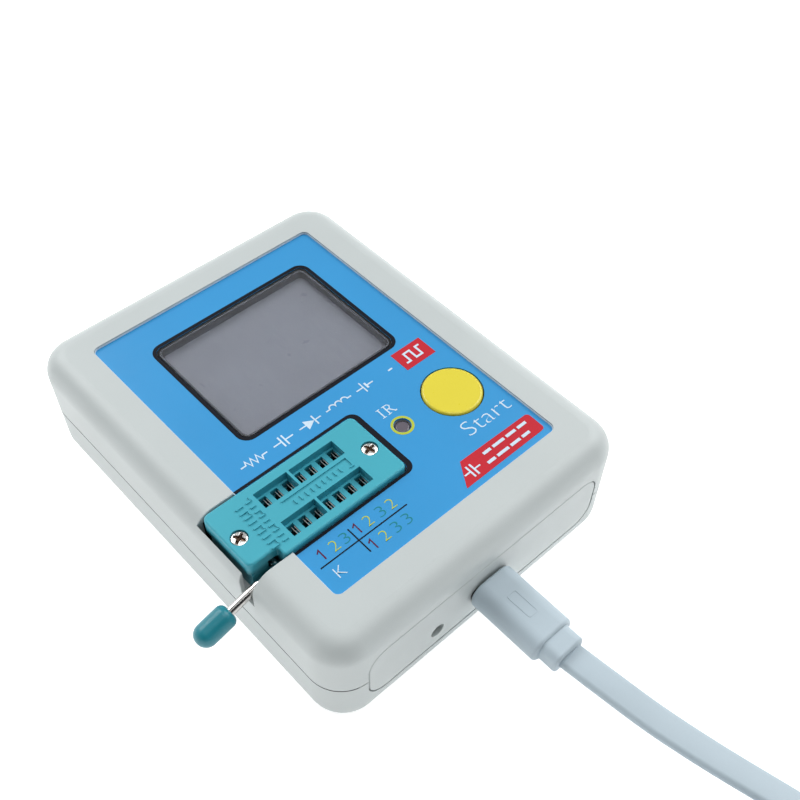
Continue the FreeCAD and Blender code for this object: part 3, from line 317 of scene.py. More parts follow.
def moulded(name, colour, roughness=0.4, grain_mm=0.2, amount=0.03):
    """Coloured plastic with a fine texture and slight flow marks."""
    paint = Paint(name, Roughness=roughness, Specular_IOR_Level=0.45)
    paint.colour(speckled(paint, colour, grain_mm, amount))
    paint.rough(paint.noise(0.5, 3), roughness - 0.07, roughness + 0.08)
    flow = paint.noise(2.5, 2, paint.stretched(0.3, 1.0, 1.0))
    under = paint.relief(paint.noise(grain_mm, 2), 0.01, 0.45)
    paint.relief(flow, 0.015, 0.3, under)
    return paint.material


def soft_touch(name, colour):
    """Soft jacket or grip moulding: matt, with a light sheen and fine dimples."""
    paint = Paint(name, Roughness=0.5, Specular_IOR_Level=0.35, Sheen_Weight=0.12)
    paint.colour(speckled(paint, colour, 0.3, 0.02))
    paint.rough(paint.noise(0.8, 3), 0.42, 0.58)
    under = paint.relief(paint.noise(0.25, 2), 0.008, 0.5)
    paint.relief(paint.cells(0.9), 0.01, 0.2, under)
    return paint.material


def metal(name, colour, roughness, scratch_mm=0.3):
    """Plated metal with fine drawn scratches and uneven shine."""
    paint = Paint(name, Metallic=1.0, Roughness=roughness)
    drawn = paint.noise(scratch_mm, 4, paint.stretched(0.12, 1.0, 1.0))
    paint.colour(paint.ramp(drawn, (0.25, shade(colour, 0.8)), (0.7, colour)))
    paint.rough(paint.noise(0.4, 4), roughness - 0.08, roughness + 0.12)
    paint.relief(drawn, 0.004, 0.35)
    return paint.material


def recessed_steel():
    """Bright screw steel that turns brown and dull down in the cross recess."""
    paint = Paint("recessed_steel", Metallic=1.0, Roughness=0.2)
    top = (COVER_HIGH.z - 0.05) * MM
    share = paint.span(paint.axes()["Z"], 0.0, 1.0, top - 0.42 * MM, top - 0.24 * MM)
    recess_colour = paint.ramp(paint.noise(0.3, 3), (0.3, srgb(42, 34, 30)), (0.7, srgb(104, 82, 66)))
    paint.colour(paint.mix(share, recess_colour, srgb(226, 224, 221)))
    paint.rough(paint.noise(0.4, 4), 0.12, 0.34)
    paint.relief(paint.noise(0.15, 3), 0.004, 0.3)
    return paint.material


def spring_metal():
    """Plated spring metal: bright along the leaves' tips, with painted shade that darkens the leaves
    further down in the pockets.
    """
    paint = Paint("spring_metal", Metallic=0.9, Roughness=0.3)
    # painted shade: the leaves go dark below their tips, where the pockets shade them
    share = paint.span(paint.axes()["Z"], 0.0, 1.0, (GRID_TOP - 0.4) * MM, (GRID_TOP - 0.25) * MM)
    pocket_shade = paint.ramp(paint.noise(0.3, 3), (0.3, srgb(52, 54, 52)), (0.7, srgb(84, 84, 80)))
    paint.colour(paint.mix(share, pocket_shade, srgb(206, 207, 204)))
    paint.rough(paint.noise(0.4, 4), 0.2, 0.36)
    paint.relief(paint.noise(0.15, 3), 0.003, 0.3)
    return paint.material


def circuit_board():
    """Green solder mask over copper tracks, with a weave under it."""
    paint = Paint("circuit_board", Roughness=0.35, Coat_Weight=0.3)
    tracks = paint.ramp(
        paint.cells(3.2, "DISTANCE_TO_EDGE"),
        (0.05, srgb(24, 92, 58)),
        (0.09, srgb(10, 58, 38)),
    )
    weave = paint.waves(0.5, "DIAGONAL", 0.3)
    paint.colour(paint.mix(paint.span(weave, 0.0, 0.15), tracks, srgb(40, 110, 70)))
    paint.rough(paint.noise(0.8, 2), 0.28, 0.42)
    paint.relief(weave, 0.01, 0.3)
    return paint.material


def foam():
    """Open-cell foam."""
    paint = Paint("foam", Roughness=0.95, Specular_IOR_Level=0.1)
    cells = paint.cells(0.35)
    paint.colour(paint.ramp(cells, (0.1, srgb(38, 38, 40)), (0.7, srgb(84, 84, 86))))
    paint.rough(cells, 0.88, 1.0)
    paint.relief(cells, 0.12, 0.8)
    return paint.material


def cell_wrap():
    """Crinkled aluminium laminate around the battery."""
    paint = Paint("cell_wrap", Metallic=0.85, Roughness=0.4)
    crinkle = paint.noise(4.0, 5)
    paint.colour(paint.ramp(crinkle, (0.3, srgb(150, 152, 155)), (0.7, srgb(205, 207, 208))))
    paint.rough(crinkle, 0.3, 0.5)
    paint.relief(crinkle, 0.15, 0.5)
    return paint.material


def insulation(name, colour):
    """Thin wire insulation with a drawn surface."""
    paint = Paint(name, Roughness=0.42, Specular_IOR_Level=0.4)
    drawn = paint.noise(0.4, 2, paint.stretched(1.0, 0.15, 1.0))
    paint.colour(paint.ramp(drawn, (0.3, shade(colour, 0.88)), (0.7, colour)))
    paint.rough(drawn, 0.36, 0.5)
    paint.relief(drawn, 0.01, 0.3)
    return paint.material


def polyimide():
    """Amber flexible circuit with copper lines showing through."""
    paint = Paint("polyimide", Roughness=0.3, Coat_Weight=0.4)
    lines = paint.waves(0.5, "X")
    paint.colour(paint.ramp(lines, (0.35, srgb(176, 108, 30)), (0.6, srgb(205, 140, 52))))
    paint.rough(paint.noise(0.5, 2), 0.24, 0.38)
    paint.relief(lines, 0.01, 0.3)
    return paint.material


FINISHES = {
    "case_plastic": case_plastic(),
    "label_film": label_film(),
    "clear_window": clear_window(),
    "display_glass": display_glass(),
    "white_plastic": moulded("white_plastic", srgb(205, 205, 200)),
    "foam": foam(),
    "circuit_board": circuit_board(),
    "black_epoxy": moulded("black_epoxy", srgb(34, 34, 36), 0.5, 0.12, 0.1),
    "grey_epoxy": moulded("grey_epoxy", srgb(94, 88, 97), 0.3, 0.3, 0.06),
    "bright_steel": metal("bright_steel", srgb(205, 203, 200), 0.16),
    "contact_metal": metal("contact_metal", srgb(205, 206, 202), 0.22, 0.15),
    "socket_plastic": socket_plastic(),
    "knob_plastic": moulded("knob_plastic", DARK_TEAL, 0.36, 0.3),
    "button_plastic": moulded("button_plastic", YELLOW, 0.3, 0.3, 0.02),
    "red_insulation": insulation("red_insulation", srgb(178, 30, 32)),
    "black_insulation": insulation("black_insulation", srgb(26, 26, 28)),
    "cell_wrap": cell_wrap(),
    "polyimide": polyimide(),
    "cable_jacket": soft_touch("cable_jacket", LEAD_COLOUR),
    "tie_plastic": soft_touch("tie_plastic", srgb(60, 64, 68)),
}
INKS = {
    "black": ink("black_ink", srgb(7, 11, 22)),
    "white": ink("white_ink", srgb(196, 214, 228)),
    "red": ink("red_ink", srgb(184, 38, 50)),
    "dark_red": ink("dark_red_ink", srgb(84, 22, 52)),
    "yellow": ink("yellow_ink", srgb(176, 186, 62)),
    "green": ink("green_ink", srgb(34, 124, 132)),
}


def paint_nodes():
    """Gives every CAD node the finish of its own material slot."""
    for node in NODES.values():
        for held in node.material_slots:
            held.material = FINISHES[held.material.name.split(".")[0]]


# ---------------------------------------------------------------- mesh helpers


def finish_piece(mesh, name, material, body, smooth=False):
    """Turns a bmesh in millimetres into a piece that rides on a CAD body, and gives the piece."""
    bmesh.ops.recalc_face_normals(mesh, faces=mesh.faces)
    bmesh.ops.scale(mesh, vec=(MM, MM, MM), verts=mesh.verts)
    data = bpy.data.meshes.new(name)
    mesh.to_mesh(data)
    mesh.free()
    data.materials.append(material)
    for polygon in data.polygons:
        polygon.use_smooth = smooth
    piece = bpy.data.objects.new(name, data)
    SCENE.collection.objects.link(piece)
    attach(piece, body)
    return piece


def add_plate(mesh, outline, bottom, top):
    """A closed plate from a convex or simple outline of (x, y) points."""
    lower = [mesh.verts.new((x, y, bottom)) for x, y in outline]
    upper = [mesh.verts.new((x, y, top)) for x, y in outline]
    mesh.faces.new(lower)
    mesh.faces.new(upper)
    for index in range(len(outline)):
        after = (index + 1) % len(outline)
        mesh.faces.new((lower[index], lower[after], upper[after], upper[index]))


def add_strip(mesh, left, right, bottom, top, closed=False):
    """A closed band between two rows of (x, y) points of the same length."""
    rows = [
        [mesh.verts.new((x, y, level)) for x, y in side]
        for side, level in ((left, bottom), (right, bottom), (right, top), (left, top))
    ]
    count = len(left)
    steps = count if closed else count - 1
    for index in range(steps):
        after = (index + 1) % count
        for row in range(4):
            beside = (row + 1) % 4
            corners = (rows[row][index], rows[row][after], rows[beside][after], rows[beside][index])
            mesh.faces.new(corners)
    if not closed:
        for end in (0, -1):
            mesh.faces.new([row[end] for row in rows])


def add_wall(mesh, left, right, start, end, order, closed=False):
    """A band like add_strip's, turned: order says which of its coordinates becomes X, Y and Z."""
    first = len(mesh.verts)
    add_strip(mesh, left, right, start, end, closed)
    mesh.verts.ensure_lookup_table()
    for vertex in mesh.verts[first:]:
        vertex.co = [vertex.co[axis] for axis in order]


def stroke_sides(points, width, closed=False):
    """The two sides of a pen stroke along points, with mitred corners."""
    count = len(points)
    left = []
    right = []
    for index in range(count):
        here = Vector(points[index])
        before = Vector(points[index - 1]) if closed or index else None
        after = Vector(points[(index + 1) % count]) if closed or index < count - 1 else None
        into = (here - before).normalized() if before is not None else (after - here).normalized()
        out = (after - here).normalized() if after is not None else into
        along = (into + out).normalized()
        normal = Vector((-along.y, along.x))
        reach = width / 2 / max(0.5, normal.dot(Vector((-into.y, into.x))))
        left.append(tuple(here + normal * reach))
        right.append(tuple(here - normal * reach))
    return left, right


def add_stroke(mesh, points, width, bottom, top, closed=False):
    left, right = stroke_sides(points, width, closed)
    add_strip(mesh, left, right, bottom, top, closed)


def arc(x, y, radius, start, end, steps=10):
    """Points on an arc, angles in degrees."""
    angles = [math.radians(start + (end - start) * step / steps) for step in range(steps + 1)]
    return [(x + radius * math.cos(angle), y + radius * math.sin(angle)) for angle in angles]


def circle(x, y, radius, steps=48):
    return arc(x, y, radius, 0, 360, steps)[:-1]


def box_outline(left, right, front, back):
    return [(left, front), (right, front), (right, back), (left, back)]


def rounded_box(left, right, front, back, radius, steps=6):
    """The outline of a rectangle with round corners, anticlockwise."""
    corners = (
        (right - radius, back - radius, 0),
        (left + radius, back - radius, 90),
        (left + radius, front + radius, 180),
        (right - radius, front + radius, 270),
    )
    return [point for x, y, turn in corners for point in arc(x, y, radius, turn, turn + 90, steps)]


def moved(points, x, y):
    return [(x + dx, y + dy) for dx, dy in points]


def eased(value, start, end):
    """Rises smoothly from 0 at start to 1 at end."""
    share = max(0.0, min(1.0, (value - start) / (end - start)))
    return share * share * (3 - 2 * share)


# ---------------------------------------------------------------- printing on the label

# Heights of the ink, and of the ink that is printed over the red tags.
INK_BOTTOM = LABEL_TOP + 0.004
INK_TOP = LABEL_TOP + 0.03
TAG_TOP = INK_TOP + 0.02
STROKE_STEP = 0.0001
# Letters and digits, and the legend's two rows of them.
LETTER_THINNING = -0.02
LETTER_WELD = 0.0005
DIGIT_HEIGHT = 2.2
DIGIT_WIDTH = 1.45
UPPER_ROW = -28.3
LOWER_ROW = -32.4
LEGEND_CROSS = (-16.2, -29.15)
SYMBOL_ROW = -4.2
RING_INNER = 1.7
RING_OUTER = 2.2
# The black borders: how far they are from the window, and their two edges around the socket.
WINDOW_PLAY = 0.06
WINDOW_BORDER = 0.85
WINDOW_CORNER = 1.65
SOCKET_INNER = {"right": 0.32, "front": -23.88, "back": -7.88, "corner": 1.25}
SOCKET_OUTER = {"right": 1.47, "front": -24.5, "back": -7.28, "corner": 2.0}
# The painted highlight: a pale strip between the label and its recess.
LABEL_PLAY = 0.11
LABEL_CORNER = 1.2
LABEL_EDGE_RISE = 0.3


def printed(name, colour, draw):
    """One colour of the label's printing; draw adds its shapes to a new mesh."""
    mesh = bmesh.new()
    draw(mesh)
    finish_piece(mesh, name, INKS[colour], "case")


def stroke_top(mesh, level):
    """The level plus a hair for what is drawn already, so that crossing strokes share no face."""
    return level + STROKE_STEP * len(mesh.faces)


def line(mesh, points, width=0.28, closed=False):
    add_stroke(mesh, points, width, INK_BOTTOM, stroke_top(mesh, INK_TOP), closed)


def fill(mesh, outline):
    add_plate(mesh, outline, INK_BOTTOM, INK_TOP)


def around_window(margin, radius):
    """The display window's outline, grown by a margin or shrunk by a negative one."""
    return rounded_box(
        WINDOW_LOW.x - margin,
        WINDOW_HIGH.x + margin,
        WINDOW_LOW.y - margin,
        WINDOW_HIGH.y + margin,
        radius,
    )


def around_socket(right, front, back, corner):
    """A line around the test socket, open at the label's left edge."""
    left = LABEL_LOW.x + 0.05
    points = [(left, back)]
    points += arc(right - corner, back - corner, corner, 90, 0)
    points += arc(right - corner, front + corner, corner, 0, -90)
    points += [(left, front)]
    return points


def draw_borders(mesh):
    """The black lines around the display window and the test socket."""
    inner = around_window(WINDOW_PLAY, WINDOW_CORNER)
    outer = around_window(WINDOW_BORDER, WINDOW_CORNER + WINDOW_BORDER)
    add_strip(mesh, inner, outer, INK_BOTTOM, INK_TOP, closed=True)
    inner = around_socket(**SOCKET_INNER)
    outer = around_socket(**SOCKET_OUTER)
    add_strip(mesh, inner, outer, INK_BOTTOM, INK_TOP)


def draw_label_edge_highlight(mesh):
    """A strip of painted highlight in pale ink, which fills the play around the label."""
    sides = (LABEL_LOW.x, LABEL_HIGH.x, LABEL_LOW.y, LABEL_HIGH.y)
    outward = (-LABEL_PLAY, LABEL_PLAY, -LABEL_PLAY, LABEL_PLAY)
    inner = rounded_box(*sides, LABEL_CORNER)
    grown = [side + step for side, step in zip(sides, outward)]
    outer = rounded_box(*grown, LABEL_CORNER + LABEL_PLAY)
    add_strip(mesh, inner, outer, LABEL_LOW.z + 0.05, LABEL_TOP + LABEL_EDGE_RISE, closed=True)


def draw_legend_lines(mesh):
    """The cross that sorts the socket's pin numbers into groups."""
    x, y = LEGEND_CROSS
    line(mesh, [(-24.5, y), (-5.3, y)], 0.26)
    line(mesh, [(x, -26.2), (x, -32.2)], 0.26)


def zigzag(length, height, teeth):
    """The points of a resistor's zigzag, centred on its line."""
    points = [(-length / 2, 0)]
    step = length / (2 * teeth)
    for tooth in range(2 * teeth):
        points.append((-length / 2 + (tooth + 0.5) * step, height if tooth % 2 == 0 else -height))
    points.append((length / 2, 0))
    return points


def resistor(mesh, x, y):
    line(mesh, moved([(-2.9, 0)] + zigzag(3.6, 0.85, 3) + [(2.9, 0)], x, y))


def capacitor(mesh, x, y):
    line(mesh, moved([(-2.2, 0), (-0.35, 0)], x, y))
    line(mesh, moved([(0.35, 0), (2.2, 0)], x, y))
    for side in (-0.4, 0.4):
        line(mesh, moved([(side, -1.3), (side, 1.3)], x, y), 0.32)


def diode(mesh, x, y):
    line(mesh, moved([(-2.5, 0), (-1.0, 0)], x, y))
    line(mesh, moved([(1.0, 0), (2.5, 0)], x, y))
    fill(mesh, moved([(-1.0, -1.15), (0.95, 0), (-1.0, 1.15)], x, y))
    line(mesh, moved([(1.1, -1.2), (1.1, 1.2)], x, y), 0.3)


def inductor(mesh, x, y):
    points = [(-3.0, 0), (-2.1, 0)]
    for turn in range(3):
        points += arc(-1.4 + turn * 1.4, 0, 0.7, 180, 0, 8)[1:]
    points.append((3.0, 0))
    line(mesh, moved(points, x, y))


def cell(mesh, x, y):
    line(mesh, moved([(-2.0, 0), (-0.35, 0)], x, y))
    line(mesh, moved([(0.35, 0), (2.0, 0)], x, y))
    line(mesh, moved([(-0.4, -1.35), (-0.4, 1.35)], x, y), 0.26)
    line(mesh, moved([(0.4, -0.7), (0.4, 0.7)], x, y), 0.42)


def draw_symbols(mesh):
    """A row of general circuit symbols above the socket, and the white print on the red tags."""
    line(mesh, [(12.9, SYMBOL_ROW), (13.9, SYMBOL_ROW)], 0.35)
    places = ((resistor, -19.0), (capacitor, -12.4), (diode, -6.2), (inductor, 0.6), (cell, 7.0))
    for symbol, x in places:
        symbol(mesh, x, SYMBOL_ROW)
    pulse = [(-2.5, -1.1), (-1.5, -1.1), (-1.5, 1.1), (0.0, 1.1)]
    pulse += [(0.0, -1.1), (1.5, -1.1), (1.5, 1.1), (2.5, 1.1)]
    print_on_tag(mesh, moved(pulse, 19.4, -4.1), 0.42)
    capacitor_on_tag(mesh, 8.2, -31.6)
    for row, start, end in ((-30.3, 12.2, 23.6), (-32.3, 11.4, 22.2)):
        x = start
        for length in (1.9, 2.9, 2.4, 2.2):
            stop = min(end, x + length)
            print_on_tag(mesh, [(x, row), (stop, row)], 0.62)
            x = stop + 0.55


def print_on_tag(mesh, points, width):
    """A white line printed over a red tag."""
    add_stroke(mesh, points, width, INK_TOP + 0.004, stroke_top(mesh, TAG_TOP))


def capacitor_on_tag(mesh, x, y):
    for side in (-1, 1):
        print_on_tag(mesh, moved([(side * 0.45, -1.35), (side * 0.45, 1.35)], x, y), 0.36)
        print_on_tag(mesh, moved([(side * 0.5, 0), (side * 1.9, 0)], x, y), 0.3)


def draw_tags(mesh):
    """The two red tags."""
    fill(mesh, [(15.8, -6.6), (23.1, -6.6), (23.1, -1.65), (15.8, -1.65)])
    tag = [(4.75, -33.75), (23.7, -33.65)]
    tag += arc(24.1, -32.85, 0.85, -60, 0, 6)
    tag += arc(24.2, -29.85, 0.8, 0, 90, 6)
    tag += [(7.9, -28.75)]
    fill(mesh, tag)


def draw_rings(mesh):
    """The yellow ring around the infrared hole."""
    inner = circle(INFRARED.x, INFRARED.y, RING_INNER)
    outer = circle(INFRARED.x, INFRARED.y, RING_OUTER)
    add_strip(mesh, inner, outer, INK_BOTTOM, INK_TOP, closed=True)


def lettering(name, colour, words):
    """Words or digits on the label; each is (text, left, baseline, height, width)."""
    mesh = bmesh.new()
    for text, left, baseline, height, width in words:
        curve = bpy.data.curves.new(name + "_line", "FONT")
        curve.body = text
        curve.extrude = 0.01
        curve.offset = LETTER_THINNING
        curve.resolution_u = 4
        holder = bpy.data.objects.new(name + "_line", curve)
        SCENE.collection.objects.link(holder)
        bpy.context.view_layer.update()
        evaluated = holder.evaluated_get(bpy.context.evaluated_depsgraph_get())
        outline = bpy.data.meshes.new_from_object(evaluated)
        bpy.data.objects.remove(holder)
        low = [min(vertex.co[axis] for vertex in outline.vertices) for axis in range(3)]
        high = [max(vertex.co[axis] for vertex in outline.vertices) for axis in range(3)]
        for vertex in outline.vertices:
            across = (vertex.co.x - low[0]) / (high[0] - low[0])
            up = (vertex.co.y - low[1]) / (high[1] - low[1])
            level = INK_TOP if vertex.co.z > 0 else INK_BOTTOM
            vertex.co = (left + across * width, baseline + up * height, level)
        mesh.from_mesh(outline)
        bpy.data.meshes.remove(outline)
    bmesh.ops.remove_doubles(mesh, verts=mesh.verts, dist=LETTER_WELD)
    finish_piece(mesh, name, INKS[colour], "case")


def draw_infrared_letters(mesh):
    """The two letters over the infrared hole, drawn with thin strokes and serifs."""
    left, base, height = 4.4, -12.4, 2.3
    serif = 0.42
    second = left + 1.75
    for x in (left + serif, second):
        line(mesh, moved([(0, 0), (0, height)], x, base), 0.26)
        for y in (0.08, height - 0.08):
            line(mesh, moved([(-serif, y), (serif, y)], x, base), 0.15)
    bowl = [(0, height - 0.08), (0.75, height - 0.12), (1.12, height - 0.55)]
    bowl += [(0.75, height - 1.08), (0, height - 1.15)]
    line(mesh, moved(bowl, second, base), 0.2)
    leg = [(0.5, height - 1.12), (1.3, 0.05), (1.62, 0.08)]
    line(mesh, moved(leg, second, base), 0.24)


def draw_ones(mesh):
    """The number one, with its flag, at each of its places in the legend."""
    for left, baseline in ((-23.2, UPPER_ROW), (-15.4, UPPER_ROW), (-15.4, LOWER_ROW)):
        digit = [(0.0, DIGIT_HEIGHT - 0.55), (0.62, DIGIT_HEIGHT), (0.62, 0.0)]
        line(mesh, moved(digit, left, baseline), 0.27)


def make_printing():
    """All of the label's printing, one piece for each colour and kind."""
    printed("label_borders", "black", draw_borders)
    # painted highlight along the label's edge
    printed("label_edge_highlight", "white", draw_label_edge_highlight)
    printed("legend_lines", "black", draw_legend_lines)
    printed("label_tags", "red", draw_tags)
    printed("label_symbols", "white", draw_symbols)
    printed("infrared_ring", "yellow", draw_rings)
    lettering("label_words", "white", [("Start", 13.4, -26.0, 3.3, 10.9)])
    printed("infrared_words", "white", draw_infrared_letters)
    lettering("legend_letter", "white", [("K", -23.25, -32.6, 2.1, 1.7)])
    printed("pin_numbers_dark_red", "dark_red", draw_ones)
    for colour, digit, upper, lower in (
        ("yellow", "2", (-20.7, -13.2, -8.0), (-13.1,)),
        ("green", "3", (-18.4, -10.4), (-10.5, -8.0)),
    ):
        places = [(left, UPPER_ROW) for left in upper] + [(left, LOWER_ROW) for left in lower]
        words = [(digit, left, baseline, DIGIT_HEIGHT, DIGIT_WIDTH) for left, baseline in places]
        lettering("pin_numbers_" + colour, colour, words)


# ---------------------------------------------------------------- display and socket details

# The frame of painted shade inside the display window: its inset and width.
SHADE_FRAME_INSET = 0.32
SHADE_FRAME_WIDTH = 0.35
# The grid: a pocket's sides and the step in it, measured from its contact.
POCKET_FRONT = -1.62
POCKET_BACK = 1.4
POCKET_LEFT = -0.6
POCKET_RIGHT = 0.93
DIVIDER_HALF = 0.26
OVERLAP = 0.01
STEP_LEFT = 0.38
STEP_RIGHT = 0.68
STEP_DROP = 0.6
# A contact's leaves. Of each: how far to the right, below the grid's top and to the back it reaches.
LEAF = 0.1
LEAF_FRONT = -1.45
LEAVES = ((0.3, 0.2, 1.0), (0.77, 0.03, 0.8))
# The cover's screws and their cross recess.
SCREW_INSET = 1.5
SCREW_RADIUS = 1.42
SCREW_SKIRT = 1.0
SCREW_RINGS = 30
SCREW_STEPS = 96
DOME_DROP = 0.2
RECESS_DEPTH = 0.75
RECESS_LENGTH = 1.14
RECESS_HALF_WIDTH = 0.34
RECESS_TAPER = 0.08
# The cover's raised marks.
MARK_ROOT = 0.03
MARK_HEIGHT = 0.26
MARK_PITCH = 1.25
MARK_COUNT = 9


def make_window_shade_frame():
    """A frame that closes the gap between the shell and the display glass, coloured dark as painted
    shade of the window's inner walls.
    """
    mesh = bmesh.new()
    outer = around_window(-SHADE_FRAME_INSET, 1.55)
    inner = around_window(-SHADE_FRAME_INSET - SHADE_FRAME_WIDTH, 1.3)
    glass_top = box_mm("display_glass")[1].z
    add_strip(mesh, inner, outer, glass_top + 0.02, WINDOW_LOW.z - 0.02, closed=True)
    # painted shade: dark grey-blue standing for the window's inner walls in shade
    material = moulded("window_shade_frame", srgb(92, 97, 108), 0.6, 0.25, 0.05)
    finish_piece(mesh, "window_shade_frame", material, "case")


def make_contact_grid():
    """The moulded grid inside the cover's slots, with a pocket around each contact."""
    mesh = bmesh.new()
    bottom = COVER_LOW.z + 0.05
    divider = FIRST_COLUMN + 2.5 * PIN_PITCH
    slots = (
        (SLOT_LEFT + OVERLAP, divider - DIVIDER_HALF, range(0, 3)),
        (divider + DIVIDER_HALF, SLOT_RIGHT - OVERLAP, range(3, PIN_COLUMNS)),
    )
    for side in (-1, 1):
        y = ROWS_MIDDLE + side * PIN_HALF_ROWS
        front = y + POCKET_FRONT - OVERLAP
        back = y + POCKET_BACK + OVERLAP
        for left, right, columns in slots:
            back_rail = box_outline(left, right, y + POCKET_BACK, y + SLOT_HALF)
            front_rail = box_outline(left, right, y - SLOT_HALF, y + POCKET_FRONT)
            add_plate(mesh, back_rail, bottom, GRID_TOP)
            add_plate(mesh, front_rail, bottom, GRID_TOP)
            edge = left
            for column in columns:
                x = FIRST_COLUMN + column * PIN_PITCH
                rib = box_outline(edge, x + POCKET_LEFT, front, back)
                add_plate(mesh, rib, bottom, GRID_TOP)
                step = box_outline(x + STEP_LEFT, x + STEP_RIGHT, front, y + 0.1)
                add_plate(mesh, step, bottom, GRID_TOP - STEP_DROP)
                edge = x + POCKET_RIGHT
            add_plate(mesh, box_outline(edge, right, front, back), bottom, GRID_TOP)
    finish_piece(mesh, "contact_grid", FINISHES["socket_plastic"], "case")


def make_contacts():
    """The socket's spring contacts: two thin upright leaves in each pocket, and a pin below."""
    mesh = bmesh.new()
    foot = CONTACTS_LOW.z + 5.0
    upright = (0, 2, 1)
    for side in (-1, 1):
        y = ROWS_MIDDLE + side * PIN_HALF_ROWS
        for column in range(PIN_COLUMNS):
            x = FIRST_COLUMN + column * PIN_PITCH
            for offset, drop, back in LEAVES:
                top = GRID_TOP - drop
                profile = [
                    (x + offset, top),
                    (x + offset, top - 0.9),
                    (x + offset * 0.8, top - 1.7),
                    (x + offset * 0.55, foot),
                ]
                inner, outer = stroke_sides(profile, LEAF)
                add_wall(mesh, inner, outer, y + LEAF_FRONT, y + back, upright)
            inner, outer = stroke_sides([(x, CONTACTS_LOW.z), (x, foot)], 0.5)
            add_wall(mesh, inner, outer, y - 0.2, y + 0.25, upright)
    contacts = finish_piece(mesh, "spring_contacts", spring_metal(), "case")
    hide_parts("socket_contacts")


def make_socket_screws():
    """Pan-head screws with a cross recess, one at each end of the socket's cover."""
    low, high = box_mm("socket_screws")
    places = (
        (low.x + SCREW_INSET, high.y - SCREW_INSET, 0.5),
        (high.x - SCREW_INSET, low.y + SCREW_INSET, 0.2),
    )
    angles = [math.tau * step / SCREW_STEPS for step in range(SCREW_STEPS)]
    mesh = bmesh.new()
    for x, y, turn in places:
        rows = []
        for ring in range(1, SCREW_RINGS + 1):
            reach = SCREW_RADIUS * ring / SCREW_RINGS
            rows.append([screw_point(mesh, x, y, high.z, reach, angle, turn) for angle in angles])
        centre = mesh.verts.new((x, y, high.z - RECESS_DEPTH))
        for step in range(SCREW_STEPS):
            mesh.faces.new((centre, rows[0][step], rows[0][(step + 1) % SCREW_STEPS]))
        rim = [(vertex.co.x, vertex.co.y) for vertex in rows[-1]]
        skirt = [mesh.verts.new((rim_x, rim_y, high.z - SCREW_SKIRT)) for rim_x, rim_y in rim]
        rows.append(skirt)
        for row, after in zip(rows, rows[1:]):
            for step in range(SCREW_STEPS):
                beside = (step + 1) % SCREW_STEPS
                mesh.faces.new((row[step], row[beside], after[beside], after[step]))
        mesh.faces.new(skirt)
    steel = recessed_steel()
    screws = finish_piece(mesh, "cross_screws", steel, "case", smooth=True)
    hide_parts("socket_screws")


def screw_point(mesh, x, y, top, reach, angle, turn):
    """One point of a screw head: a low dome with four tapering arms sunk into it."""
    dx = reach * math.cos(angle)
    dy = reach * math.sin(angle)
    u = dx * math.cos(turn) + dy * math.sin(turn)
    v = dy * math.cos(turn) - dx * math.sin(turn)
    arm = min(abs(u), abs(v))
    along = max(abs(u), abs(v))
    half_width = RECESS_HALF_WIDTH - RECESS_TAPER * along
    inside = eased(half_width - arm, -0.05, 0.05) * eased(RECESS_LENGTH - along, -0.05, 0.06)
    dome = DOME_DROP * (reach / SCREW_RADIUS) ** 2.6
    depth = RECESS_DEPTH * (1 - 0.3 * along) * inside
    return mesh.verts.new((x + dx, y + dy, top - dome * (1 - inside) - depth))


def make_cover_marks():
    """Raised lines on the socket's cover: a bracket between the rows and two columns of bars."""
    mesh = bmesh.new()
    bottom = COVER_HIGH.z - MARK_ROOT
    top = COVER_HIGH.z + MARK_HEIGHT
    bracket = [(-8.0, -1.15), (-7.2, -1.15), (-7.2, 1.1), (-21.5, 1.1)]
    add_stroke(mesh, moved(bracket, 0, ROWS_MIDDLE), 0.22, bottom, top)
    for number in range(MARK_COUNT):
        x = -19.6 + number * MARK_PITCH
        bar = [(x, ROWS_MIDDLE - 0.9), (x, ROWS_MIDDLE + 0.1)]
        add_stroke(mesh, bar, 0.24, bottom, top)
    for column, (x, length) in enumerate(((-27.6, 1.5), (-25.6, 1.1))):
        end = x + length / 2
        for row in range(MARK_COUNT):
            y = ROWS_MIDDLE - 5.2 + row * MARK_PITCH
            add_stroke(mesh, [(x - length / 2, y), (end, y)], 0.3, bottom, top)
            if (row + column) % 3 == 0:
                add_stroke(mesh, [(end, y), (end, y + 0.9)], 0.26, bottom, top)
    finish_piece(mesh, "cover_marks", FINISHES["socket_plastic"], "case")


# ---------------------------------------------------------------- charging lead

LEAD_BODY = "lead"
CABLE_WIDTH = 5.4
CABLE_THICKNESS = 2.0
# Where along its line the cable leans by LEAN_ANGLE degrees, stands up on edge, and lies down again.
LEAN_ANGLE = 7.0
LEAN = (12, 42)
STAND = (56, 92)
LIE_BEFORE_END = (22, 3)
# The line's points from the plug to the coil.
CABLE_ROUTE = [
    (0.1, -63.6, 12.9),
    (0.5, -67.8, 12.9),
    (1.2, -73.6, 12.7),
    (2.1, -80.2, 12.3),
    (3.5, -87.0, 11.8),
    (5.2, -93.8, 11.2),
    (7.1, -100.6, 10.6),
    (9.1, -107.6, 9.8),
    (10.9, -114.8, 8.9),
    (11.8, -122.4, 8.0),
    (11.1, -130.2, 7.0),
    (8.6, -137.6, 5.4),
    (4.4, -144.6, 3.7),
    (-1.4, -150.8, 3.0),
    (-8.2, -155.7, 3.2),
]
# The coil: its inner radius and the pitch of its turns; its angles are in degrees.
COIL_TRACK = 23.5
COIL_PITCH = 2.2
COIL_TURNS = 3.5
COIL_START = 112.5
COIL_STEP = 22.5
COIL_Z = CABLE_WIDTH / 2 + 0.05
TIE_LIFT = 0.65
TIE_WALL = 0.65
# The line's points from the coil to the far plug.
TAIL_ROUTE = [
    (-41.2, -130.0, 2.9),
    (-41.3, -124.0, 3.4),
    (-41.2, -117.5, 3.9),
    (-41.2, -110.7, 4.0),
]


